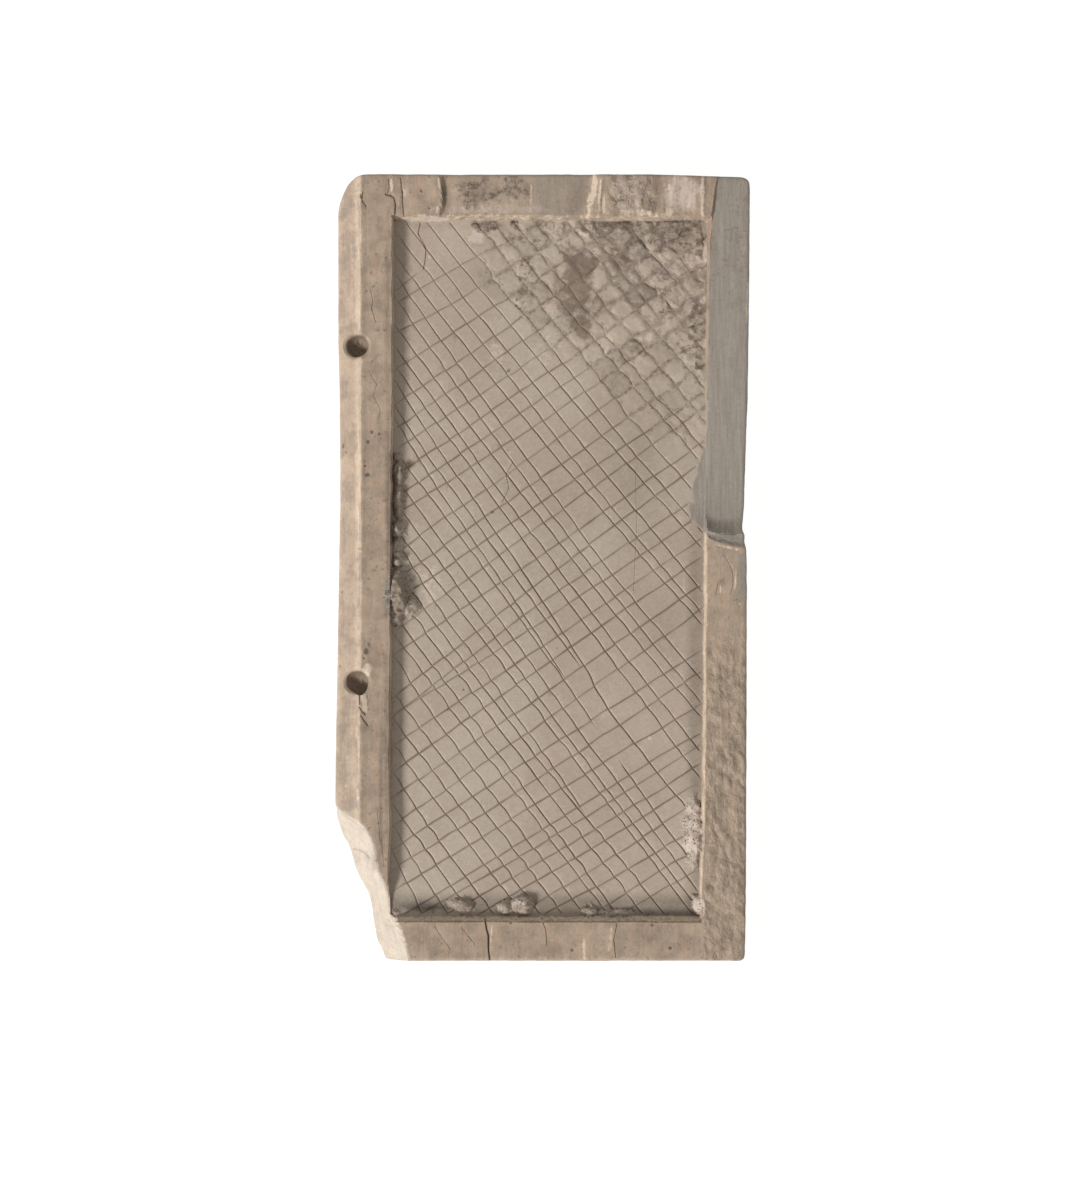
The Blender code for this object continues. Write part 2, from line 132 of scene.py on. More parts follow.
# Across the hinge edge: the cove climbs from its foot to its head, and the ledge falls away from its foot
COVE_FOOT_PX = 354.5
COVE_HEAD_PX = 362.0
LEDGE_RUN_PX = 14.0

# The strokes, each as places in the turned frame: (u, v) down the steep ones
STEEP_STROKES = (
    ((-202.5, 928), (-211, 973)),
    ((-185, 905), (-189, 940), (-192, 988)),
    ((-171, 885), (-174, 1000)),
    ((-152, 862), (-156, 921), (-156, 1025)),
    ((-135, 838), (-133, 1032)),
    ((-119, 825), (-119, 1045)),
    ((-104, 795), (-101, 962), (-101, 1060)),
    ((-82, 770), (-86, 850), (-84, 1078)),
    ((-68, 748), (-65, 1085)),
    ((-55, 742), (-57, 1088)),
    ((-41, 740), (-40, 916), (-37, 1108)),
    ((-28, 742), (-27.5, 920), (-24.5, 1007), (-19.5, 1122)),
    ((-12.5, 705), (-16, 760), (-20, 962), (-23, 1003)),
    ((-2, 688), (0.5, 787), (1.6, 916), (2.7, 1135)),
    ((13.5, 665), (11.8, 810), (9.3, 962), (10.7, 1125)),
    ((28, 648), (26, 787), (22.5, 950), (21.4, 1100)),
    ((44, 622), (45, 700), (43, 814), (41, 882), (38, 940)),
    ((37, 980), (34, 1053), (34, 1110)),
    ((60, 598), (57, 628), (54, 683), (51, 753), (48, 815), (43.5, 883)),
    ((70, 578), (67, 630), (65, 740), (63.5, 820), (63, 883)),
    ((84.5, 555), (80, 621), (75, 753), (71, 817), (66, 883), (60, 915), (59, 950), (61, 1046)),
    ((94.5, 540), (95, 655), (92, 821), (91, 992)),
    ((106, 535), (106, 594), (103.5, 680), (104, 878), (107, 1010)),
    ((119.5, 500), (119, 565), (120, 751), (121.5, 855), (124, 924), (128, 983)),
    ((136, 485), (132.5, 600), (131, 746), (132, 833), (137, 970)),
    ((149.5, 478), (146.5, 565), (143.3, 820), (146, 878), (151, 955)),
    ((162, 450), (162.5, 530), (166, 619), (169.5, 703), (178, 833), (184, 908)),
    ((176.5, 432), (178.5, 524), (183, 770), (187.5, 840), (191, 900)),
    ((191, 455), (191.5, 520), (195, 592), (198, 728), (205, 886)),
    ((208, 440), (208.5, 500), (212, 560), (218.4, 703), (229, 835)),
    ((225.7, 450), (229, 569), (233, 728), (239.5, 825)),
    ((247.5, 478), (249, 580), (252, 715), (258.5, 805)),
    ((263, 505), (266, 585), (273.5, 676), (280.5, 780)),
    ((278, 500), (281, 580), (286, 703), (291, 771)),
    ((297.5, 525), (299, 578), (308.6, 740)),
    ((320, 530), (321.5, 595), (328, 705)),
    ((332, 560), (336.5, 655)),
    ((342, 550), (347, 600), (352, 690)),
    ((365, 555), (368, 599), (371, 626), (376, 658)),
    ((386, 575), (388, 605)),
)

# The same along the shallow ones, from left to right
SHALLOW_STROKES = (
    ((165, 469.5), (177.5, 469.5)),
    ((149, 481), (190, 486), (238, 493.5), (262, 498), (285, 501.5)),
    ((124, 505), (178, 514), (220, 517.5), (262, 521.5), (300, 526), (336, 530)),
    ((105, 533), (147, 537), (208, 541), (345, 552)),
    ((80, 560), (147, 564.5), (203, 566), (340, 572.5)),
    ((69, 580), (147, 584), (216, 586.6), (385, 595)),
    ((50, 597), (120, 601.6), (180, 606), (362, 612)),
    ((30, 617), (93, 621), (166, 624), (249, 629), (352, 631.6)),
    ((30, 636), (150, 642), (237, 647), (330, 652)),
    ((16, 649), (94, 656.6), (180, 662), (331, 668)),
    ((0, 680), (93, 682.7), (218, 687), (320, 690)),
    ((-11, 702), (82, 705), (168, 709), (329, 714)),
    ((-16, 720), (93, 725), (198, 730), (313, 737)),
    ((-55, 741), (45, 743.6), (168, 745.7), (310, 749)),
    ((-75, 760), (-2, 764), (93, 769), (288, 776)),
    ((-95, 793), (93, 789.5), (287, 790.5)),
    ((-68, 808), (45, 806), (143, 810), (245, 816)),
    ((-110, 808), (-26, 816), (60, 823), (230, 832)),
    ((-124, 832), (1, 840), (93, 845), (225, 851)),
    ((-148, 853), (1, 858), (104, 861.6), (215, 867)),
    ((-163, 873), (1, 881), (118, 885), (207, 889)),
    ((-175, 896), (1, 904), (184, 908.5)),
    ((-186, 915), (-68, 923), (60, 932.7), (160, 941)),
    ((-203, 931), (-101, 941), (60, 952), (150, 958)),
    ((-208, 950), (-101, 961), (60, 976), (132, 984)),
    ((-195, 976.5), (-68, 989), (60, 1000), (110, 1006)),
    ((-192, 986), (-101, 997), (1, 1008), (105, 1016)),
    ((-168, 1003), (-68, 1016), (60, 1029), (100, 1032)),
    ((-133, 1023), (-40, 1034), (88, 1045)),
    ((-118, 1045), (-24, 1054), (60, 1059)),
    ((-105, 1060), (-24, 1072), (55, 1081)),
    ((-62, 1088), (19, 1094), (35, 1097)),
    ((-47, 1105), (30, 1114)),
)

# Cracks: half width in pixels, depth in mm, and the places along it
CRACKS = (
    (0.9, 0.10, ((388.5, 178), (389.6, 186), (388, 193))),
    (1.2, 0.18, ((386, 194.5), (391, 195), (394.4, 198.4), (395.6, 206), (395, 216))),
    (1.2, 0.15, ((402.6, 192), (403, 204), (404, 216))),
    (1.4, 0.10, ((401, 178), (402.6, 192))),
    (0.8, 0.14, ((363, 192), (362, 200), (366, 206))),
    (0.8, 0.07, ((371, 290), (373, 300), (372, 308), (376, 322))),
    (0.7, 0.05, ((370, 372), (377, 384), (374, 396), (381, 410), (378, 422))),
    (0.7, 0.05, ((377, 384), (384, 379))),
    (1.1, 0.30, ((485, 919), (486.5, 928), (488.5, 936), (488.5, 948), (490, 961))),
    (0.8, 0.14, ((420, 223), (418, 233), (421, 239), (424, 243), (426, 250), (425, 260), (423.5, 268))),
    (0.9, 0.20, ((359.4, 694), (360, 704))),
    (1.4, 0.16, ((359.6, 707), (362.4, 711), (365.5, 714))),
    (1.5, 0.17, ((361.5, 716), (364, 720), (367.5, 724.5))),
    (0.9, 0.06, ((725.5, 556), (730, 564), (733, 572), (733.6, 581), (732, 592))),
    (0.7, 0.08, ((435, 926), (441, 936), (450, 948))),
    (0.7, 0.08, ((462, 928), (475, 944))),
    (0.6, 0.05, ((377.6, 812), (379.4, 828), (380.4, 842))),
    (0.6, 0.06, ((381.4, 838), (383, 852), (384.2, 866))),
    (1.3, 0.10, ((340, 813), (350, 819), (358, 825), (364, 831))),
    (1.6, 0.14, ((351, 850), (359, 851), (365, 854), (370, 859))),
    (0.7, 0.10, ((513, 462), (506, 474), (509, 488), (503, 500))),
    (0.6, 0.05, ((636, 470), (637, 530), (634, 590))),
    (0.9, 0.08, ((718.6, 583), (717.6, 588), (716.4, 592.5))),
    (0.8, 0.12, ((617, 925), (614, 940), (616, 958))),
    (0.8, 0.08, ((633, 229), (640, 239.6), (648, 248), (653, 255), (664, 266), (671, 275), (677, 281))),
    (0.8, 0.12, ((541, 917), (546, 930), (547, 944))),
)

# Lumps of hardened dirt: centre, half sizes and turn in degrees, all in pixels, then height in mm
LUMPS = (
    (399, 473, 6.0, 12.5, 0, 1.15), (397, 457, 3.6, 4.5, 0, 0.7), (398, 500, 5.5, 18, 0, 0.85),
    (397.5, 529, 6.2, 8.0, 0, 1.15), (397, 549, 5.0, 12, 0, 0.8), (397, 562, 5.0, 5.0, 0, 1.2),
    (396, 596, 11, 30, 0, 1.62), (409, 607, 9, 10, 15, 0.75), (407, 585, 6, 9, 0, 0.6),
    (463, 906, 10, 6.4, 12, 0.8), (505, 908, 8.5, 7, 0, 0.85), (522, 905, 12, 9.5, 0, 1.2),
    (589, 912, 9, 5.4, 0, 0.6), (694, 833, 9.5, 34, 0, 0.75), (699, 905, 7, 10.5, 0, 1.0),
    (397, 913.5, 4, 3.4, 0, 0.32), (618, 914, 20, 5, 0, 0.35),
)

# Marks of one kind: centre and half sizes in pixels, turn in degrees, and strength
# Of the stains, the one at (428, 909) darkens the floor along the foot of the bottom wall, as painted shade
STAINS = (
    (577, 286, 19, 42, -6, 1.0), (578, 262, 21, 13, 0, 0.9), (581, 324, 13, 20, -14, 0.95),
    (621, 260, 13, 11, 30, 0.9), (560, 290, 8, 30, -10, 0.6), (523, 290, 8, 20, 25, 0.5),
    (372, 571, 3, 5, 0, 0.4), (361, 549, 5, 2, 0, 0.4), (343, 520, 2, 4, 0, 0.5), (620, 910, 22, 5, 0, 0.8),
    (412, 606, 7, 9, 20, 0.9), (410, 462, 5, 10, 30, 0.7), (723, 583, 5, 8, 0, 0.45),
    (361, 197, 1.6, 3.5, 0, 0.8), (393, 913, 4, 5, 0, 0.9), (378, 385, 8, 22, 0, 0.3),
    (745, 197, 2.5, 5, 0, 0.35), (376, 860, 6, 18, 12, 0.45), (391.5, 525, 1.6, 40, 0, 0.9),
    (603, 312, 4, 5, 0, 0.35), (428, 909, 32, 4.0, 0, 0.8), (560, 910, 26, 2.6, 0, 0.3),
)
SPECKS = (
    (372, 432, 2.4, 2.6, 0, 1.0), (379, 434, 1.9, 2.0, 0, 1.0), (368, 442, 2.2, 2.4, 0, 1.0),
    (375, 436, 5, 3, 20, 0.4), (367, 475, 3.4, 2.6, 0, 1.0), (365, 466, 1.6, 2.0, 0, 0.9),
    (343, 446, 1.6, 5, 30, 0.8), (346, 452, 2.4, 3, 0, 0.6), (342, 592, 1.3, 1.8, 0, 1.0),
    (339.5, 666, 1.4, 2.6, 0, 0.9), (366, 652, 3.6, 5, 0, 0.9), (369, 645, 2.6, 4, 0, 0.6),
    (364, 658, 2.6, 2.2, 0, 0.8), (448, 710, 2.2, 2.2, 0, 0.9), (480, 851, 3.0, 2.0, -20, 0.9),
    (511, 923, 2.6, 2.2, 0, 0.8), (652, 925, 2.4, 2.0, 0, 0.8), (670, 948, 2.4, 2.6, 0, 0.8),
    (572, 950, 2.0, 2.2, 0, 0.7), (421, 191, 2.0, 2.0, 0, 0.8), (429, 208.5, 2.2, 2.0, 0, 0.8),
    (361, 196, 1.4, 3.4, -20, 0.9), (362, 202, 1.2, 2.0, 0, 0.8), (508, 450, 2.4, 2.2, 0, 0.5),
    (492, 512, 2.2, 1.6, 0, 0.9), (491.6, 535, 1.6, 1.6, 0, 0.6), (463, 690, 1.8, 1.6, 0, 0.7),
    (557, 648, 1.6, 1.6, 0, 0.7), (478, 692, 1.8, 1.6, 0, 0.6), (472, 698, 1.6, 1.6, 0, 0.6),
    (723.4, 579, 1.8, 4, 10, 0.6), (486, 272, 2.0, 1.8, 0, 0.7), (693, 326, 1.7, 1.7, 0, 1.0),
    (508, 370, 3, 4, 30, 0.6), (502, 364, 3, 2, 0, 0.5), (372, 308, 1.2, 8, 8, 0.5),
)
# Whitish patches; the first, along the top wall, is partly painted light on that wall
BLOOMS = (
    (424, 218.6, 33, 2.6, 0, 0.95), (681, 195, 21, 22, 0, 0.75), (630, 195, 22, 22, 0, 0.62),
    (492, 208.5, 76, 6.4, 0, 0.56), (704.5, 262, 2.4, 24, 3, 0.7), (352, 268, 3.0, 50, 0, 0.5),
    (475, 236, 13, 9, 20, 0.95), (585, 235, 8, 6, 0, 1.0), (522, 228, 3, 8, -35, 0.9),
    (542, 350, 18, 20, 30, 0.55), (605, 342, 11, 13, 0, 0.6), (508, 474, 5.5, 26, 10, 0.5),
    (432, 585, 18, 26, 0, 0.62), (684, 588, 1.5, 14, 0, 0.7), (497, 352, 9, 14, -30, 0.6),
    (694, 833, 9, 34, 0, 0.85), (698, 905, 7, 10, 0, 0.9), (522, 902, 8, 6, 0, 0.85),
    (650, 738, 2.4, 2, 0, 0.8), (405, 194, 2.0, 5, 0, 0.9), (352, 733, 1.8, 1.8, 0, 1.0),
    (346, 786, 1.8, 1.8, 0, 1.0), (347, 758, 1.4, 5, 0, 0.6), (429.5, 256, 1.8, 3, 0, 0.9),
    (451, 200, 5, 17, 0, 0.4), (393, 500, 3, 44, 0, 0.3), (521, 309, 3, 13, -32, 0.9),
    (518, 229, 2, 6, -30, 0.8), (687, 296, 2.6, 15, -42, 1.0), (647, 336, 9, 8, 0, 0.7),
    (701, 275, 3, 11, 0, 0.8), (695, 250, 6, 2, 20, 0.8), (692, 322, 3, 10, -20, 0.6),
    (631, 247, 7, 9, 0, 0.5), (658, 335, 6, 8, 0, 0.5), (627, 280, 9, 9, 40, 0.5),
    (700, 400, 3, 44, 0, 0.35), (415, 589, 2, 3, 0, 0.9), (349, 730, 5, 60, 0, 0.35),
)
CRUSTS = (
    (485, 226, 15, 7.5, 0, 1.0), (513, 224, 5, 4, 0, 0.8), (549, 225, 6, 6, 0, 0.8),
    (560, 228, 5, 8, 0, 0.6), (592, 229, 13, 7, 0, 0.8), (620, 226, 30, 5, 0, 0.9),
    (680, 227, 22, 8, 0, 0.9), (672, 240, 33, 16, 0, 0.66), (699, 242, 5, 20, 0, 0.9),
    (630, 238, 30, 14, 0, 0.44), (612, 246, 24, 10, 12, 0.36), (688, 264, 14, 14, 0, 0.42),
    (664, 290, 17, 34, -20, 0.42), (696, 326, 9, 26, 0, 0.7), (640, 345, 12, 14, 0, 0.42),
    (652, 222.4, 52, 2.0, 0, 0.6), (690, 346, 14, 18, -30, 0.42), (525, 268, 9, 16, 20, 0.5),
    (699, 362, 5, 14, 0, 0.6), (523, 300, 9, 14, 25, 0.45), (540, 236, 40, 12, 0, 0.35),
    (398, 500, 6, 46, 0, 0.55), (399, 594, 13, 30, 0, 0.75), (399, 470, 7, 14, 0, 0.55),
    (463, 905, 10, 7, 0, 0.45), (505, 908, 8, 7, 0, 0.3), (524, 909, 12, 7, 0, 0.3),
    (590, 911, 10, 6, 0, 0.4), (394, 700, 3, 200, 0, 0.2), (650, 914.4, 56, 2.4, 0, 0.4),
)
FRAME_CRUSTS = (
    (478, 192, 25, 14, 0, 0.8), (470, 203, 11, 9, 0, 0.75), (515, 188, 14, 13, 0, 0.75),
    (628, 190, 21, 15, 0, 0.4), (648, 199, 11, 15, 0, 0.42), (616, 196, 9, 12, 0, 0.36),
    (443, 195, 2.4, 18, 0, 0.5),
)
# Fresh pale chips, and painted highlights: the lines along the two lips of the lost flake, and the two along
# the top wall, which are partly painted light
FRESH_BREAKS_AND_HIGHLIGHTS = (
    (363.6, 702, 3.6, 11, -8, 1.0), (367, 670, 5.5, 9, 25, 1.0), (391.5, 186, 1.5, 8, -4, 1.0),
    (399, 206, 1.6, 9, 0, 0.5), (439.5, 184, 1.6, 7, -8, 0.9), (437, 210, 1.6, 6, 10, 0.9),
    (592, 196, 4.6, 26, 9, 1.0), (599.5, 198, 1.4, 22, 4, 0.9), (604, 204, 1.6, 13, 0, 0.8),
    (702.5, 196, 2.2, 24, 0, 1.0), (681, 195, 21, 24, 0, 0.5), (666, 196, 2.4, 22, 0, 0.6),
    (690, 196, 2.4, 22, 0, 0.6), (640, 214, 34, 5, 0, 0.6), (670, 211, 6, 5, 0, 0.9),
    (508, 194, 2.0, 20, 3, 0.4), (531, 196, 1.6, 20, 3, 0.55), (584, 948, 2.6, 14, 0, 0.5),
    (610, 942, 2.2, 18, 6, 0.5), (491, 940, 1.6, 20, 3, 0.6), (735.4, 578, 1.1, 13, 2, 0.6),
    (731.6, 564, 0.9, 8, -28, 0.5), (720.6, 587, 1.1, 6, 4, 0.6), (505, 216.6, 112, 3.2, 0, 0.5),
    (424, 217.4, 32, 3.4, 0, 0.5), (737, 603, 6, 1.4, 10, 0.5), (362, 172, 60, 2.0, 0, 0.3),
    (560, 958, 120, 2.2, 0, 0.35), (356, 200, 6, 18, 0, 0.35), (358.6, 300, 1.8, 110, 0, 0.5),
    (358.4, 500, 1.8, 110, 0, 0.5), (357.2, 760, 1.8, 54, 0, 0.6), (358.2, 610, 1.8, 60, 0, 0.6),
    (728, 547.5, 19, 1.0, 13, 0.7), (725, 533.6, 18, 0.9, 3, 0.6), (703, 280, 2.2, 24, -4, 0.7),
    (747.4, 330, 1.3, 90, 0, 0.45), (386.5, 560, 1.2, 75, 0, 0.3),
)

# Where the eaten part of the floor begins, as a row and the place in it
EATEN_BORDER_PX = (
    (215, 474), (250, 480), (300, 492), (330, 520), (360, 560), (400, 606), (430, 655), (460, 710),
)

# Painted shade with soft edges: the shadow and shade beside the walls, the steps, the lumps and the lip of
# the lost flake, and a faint darkening of the tone elsewhere
SHADES = (
    (388.0, 300, 5.0, 120, 0, 0.30), (388.4, 500, 4.4, 140, 0, 0.42), (387.0, 740, 5.0, 130, 0, 0.38),
    (387.5, 600, 4.4, 34, 0, 0.46), (381, 790, 3.0, 100, 0, 0.42), (366, 470, 4.4, 150, 0, 0.10),
    (365.0, 740, 4.4, 90, 0, 0.16), (378, 430, 6, 60, 0, 0.12), (407, 300, 3.6, 120, 0, 0.22),
    (359, 600, 3.2, 70, 0, 0.28), (357, 755, 3.4, 60, 0, 0.32), (361.6, 340, 2.6, 150, 0, 0.10),
    (693, 690, 10, 160, 0, 0.14), (694, 580, 9, 60, 0, 0.14), (430, 225, 40, 5, 0, 0.16),
    (510, 226, 70, 4.4, 0, 0.16), (650, 926, 62, 6, 0, 0.10), (660, 620, 40, 60, 0, 0.10),
    (444.5, 195, 4.4, 22, -5, 0.42), (640, 470, 66, 150, 0, 0.16), (660, 940, 40, 24, 0, 0.10),
    (578, 196, 11, 26, 0, 0.22), (425, 907, 34, 7, 0, 0.42), (540, 540, 130, 170, 0, 0.05),
    (375, 650, 9, 230, 0, 0.10), (560, 940, 190, 22, 0, 0.05), (650, 940, 70, 22, 0, 0.16),
    (540, 330, 150, 120, 0, 0.02), (726, 541.0, 20, 2.6, 12, 0.20), (728, 537.5, 20, 5.0, 8, 0.22),
    (720, 524, 26, 7, 5, 0.05), (741.5, 577, 6.5, 27, 0, 0.10), (345, 740, 6, 90, 0, 0.14),
    (352, 735, 4, 70, 0, 0.05), (515, 188, 13, 12, 0, 0.04), (478, 193, 24, 15, 0, 0.04),
    (372, 700, 16, 80, 0, 0.03), (375, 580, 9, 60, 0, 0.07), (348, 742, 5, 60, 0, 0.08),
    (395, 880, 10, 40, 0, 0.10), (352, 862, 10, 8, 40, 0.08), (368, 900, 12, 30, 15, 0.05),
    (348, 826, 8, 10, 0, 0.05), (440, 560, 60, 160, 0, 0.025), (560, 620, 70, 120, 0, 0.02),
)

# For the steep strokes and the shallow ones: share of the deepest, waver, length of a wave, and width
STROKE_SHARES = (0.88, 0.72)
STROKE_WAVERS_PX = (0.8, 0.9)
STROKE_WAVES_PX = (34, 20)
STROKE_WIDTHS = (0.92, 1.0)

# The first steep strokes bow more between their crossings than the others
LOOSE_STROKES = 14

HOLES_PX = ((357, 346), (357, 682))
HOLE_POINT_ANGLE = math.radians(67)
HOLE_POINTS = 44

# The broken corner lies left of the first and below the second, and its foot below the third
CORNER_RIGHT_PX = 412
CORNER_TOP_PX = 800
BREAK_TOP_PX = 806

# Left of and below this place the outer edge is the break's, which isn't rounded
SHARP_CORNER_PX = (409, 809)

# The lost flake and its shell-shaped end lie right of this
FLAKE_LEFT_PX = 686

# Where the worn edge reaches in from the outline: left, right, top and bottom
EDGE_BAND_PX = (352, 738, 184, 951)

# Where loose places are strewn, across and down: over the leaf, over its floor and over its back
LEAF_SPAN_PX = ((334, 752), (173, 963))
FLOOR_SPAN_PX = ((384, 708), (216, 922))
BACK_SPAN_PX = ((345, 745), (182, 955))
LUMP_SPACING_PX = 1.5
BACK_SPACING_PX = 16.0
WALL_SPACING_PX = 2.6
WALL_ROWS = 9

# Edges sharper than this stay sharp in the shading
SHARP_ANGLE = math.radians(23.0)

# The least and the most that a grain is scaled by, and that it is turned by either way
GRAIN_SCALES = ((0.45, 0.45, 0.3), (1.3, 1.3, 0.8))
GRAIN_TURNS = ((-math.pi, -math.pi, -math.pi), (math.pi, math.pi, math.pi))

# How far the table lies below the leaf's back
TABLE_GAP = 0.02 * MM


def lattice(ix, iy, seed):
    """A fixed number from -1 to 1 for each whole-numbered place."""
    mixed = (ix * 374761393 + iy * 668265263 + seed * 224682251) & 0xFFFFFFFF
    mixed = ((mixed ^ (mixed >> 13)) * 1274126177) & 0xFFFFFFFF
    return ((mixed ^ (mixed >> 16)) & 0xFFFF) / 32767.5 - 1.0


def mottle(x, y, size_x, size_y, seed, octaves=3):
    """Soft noise of about -1 to 1 whose largest spots have the given sizes."""
    total = np.zeros(np.broadcast(x, y).shape)
    share = 0.6
    for octave in range(octaves):
        gx = np.asarray(x) / size_x * 2 ** octave + 31.7 * seed
        gy = np.asarray(y) / size_y * 2 ** octave + 12.9 * seed
        ix, iy = np.floor(gx).astype(np.int64), np.floor(gy).astype(np.int64)
        fx, fy = gx - ix, gy - iy
        fx, fy = fx * fx * (3 - 2 * fx), fy * fy * (3 - 2 * fy)
        low = lattice(ix, iy, seed + octave) * (1 - fx) + lattice(ix + 1, iy, seed + octave) * fx
        high = lattice(ix, iy + 1, seed + octave) * (1 - fx) + lattice(ix + 1, iy + 1, seed + octave) * fx
        total = total + share * (low * (1 - fy) + high * fy)
        share *= 0.5
    return total


def rise(low, high, value):
    """0 below low, 1 above high, and a smooth step between."""
    t = np.clip((value - low) / (high - low), 0.0, 1.0)
    return t * t * (3 - 2 * t)


def follow(pairs, value):
    """A line through pairs, read at a value of their first number."""
    firsts, seconds = zip(*pairs)
    return np.interp(value, firsts, seconds)


def swapped(points):
    """Points with their two numbers the other way round."""
    return tuple((b, a) for a, b in points)


def turned(family, first, second):
    """Swaps a steep stroke's two numbers, because it runs along v and a shallow one along u."""
    return (second, first) if family == 0 else (first, second)


def to_uv(x, y):
    """A place in the photograph in the turned frame of the strokes."""
    return ALONG_U[0] * x + ALONG_U[1] * y, ALONG_V[0] * x + ALONG_V[1] * y


def from_uv(u, v):
    """A place in the turned frame of the strokes in the photograph."""
    return ALONG_U[0] * u + ALONG_V[0] * v, ALONG_U[1] * u + ALONG_V[1] * v


def oval_reach(x, y, cx, cy, half_x, half_y, turn):
    """How far out each place lies in a turned oval: 0 in its middle, 1 on its rim."""
    a = math.radians(turn)
    dx, dy = x - cx, y - cy
    across = (dx * math.cos(a) + dy * math.sin(a)) / half_x
    down = (dy * math.cos(a) - dx * math.sin(a)) / half_y
    return np.hypot(across, down)


def spots(x, y, marks, seed, ragged=0.35, soft=0.55):
    """How strongly each place is covered by ragged oval marks."""
    cover = np.zeros(len(x))
    frayed = ragged * mottle(x, y, 7, 7, seed, 4)
    for *oval, strength in marks:
        cx, cy, half_x, half_y, _ = oval
        near = (abs(x - cx) < 1.8 * (half_x + half_y)) & (abs(y - cy) < 1.8 * (half_x + half_y))
        here = strength * rise(0.0, soft, 1.15 - oval_reach(x[near], y[near], *oval) + frayed[near])
        cover[near] = np.maximum(cover[near], here)
    return cover


def floor_crust(x, y):
    """How crusted the floor is, as far as it reaches."""
    return spots(x, y, CRUSTS, 52)


def frame_crust(x, y):
    """How crusted the top frame is."""
    return spots(x, y, FRAME_CRUSTS, 47)


def wrinkled(x, y):
    """Where the lower right frame is wrinkled like bark."""
    return rise(700, 706, x) * rise(600, 690, y)


def slanted(x, y):
    """How far across the top frame a place lies, along its leaning scars."""
    return x + (y - 194) * 0.2


def line_distance(x, y, points):
    """The distance of each place to a line through points."""
    best = np.full(len(x), 1e9)
    for (ax, ay), (bx, by) in zip(points, points[1:]):
        dx, dy = bx - ax, by - ay
        t = np.clip(((x - ax) * dx + (y - ay) * dy) / (dx * dx + dy * dy), 0.0, 1.0)
        best = np.minimum(best, np.hypot(x - ax - t * dx, y - ay - t * dy))
    return best


def inside(x, y, loop):
    """Whether each place lies inside a closed loop."""
    odd = np.zeros(len(x), bool)
    for (ax, ay), (bx, by) in zip(loop, [*loop[1:], *loop[:1]]):
        if ay != by:
            odd ^= ((ay > y) != (by > y)) & (x < (bx - ax) * (y - ay) / (by - ay) + ax)
    return odd


def sampled(points, step, closed=False):
    """Places along a line at about even steps, its corners among them."""
    stops = list(points) + ([points[0]] if closed else [])
    out = []
    for (ax, ay), (bx, by) in zip(stops, stops[1:]):
        count = max(1, round(math.hypot(bx - ax, by - ay) / step))
        out += [(ax + (bx - ax) * i / count, ay + (by - ay) * i / count) for i in range(count)]
    return out if closed else out + [stops[-1]]


def softened(points, rounds, closed=False):
    """Each place moved to between its neighbours, to take the corners off a line."""
    line = np.array(points)
    for _ in range(rounds):
        mean = (np.roll(line, 1, 0) + 2 * line + np.roll(line, -1, 0)) / 4
        if not closed:
            mean[0], mean[-1] = line[0], line[-1]
        line = mean
    return [tuple(p) for p in line]


class Stroke(NamedTuple):
    """A scored stroke: its stretch, its line, its share of the depth and which of its ends taper."""

    start: float
    end: float
    line: list
    number: int
    share: float
    family: int
    free: list


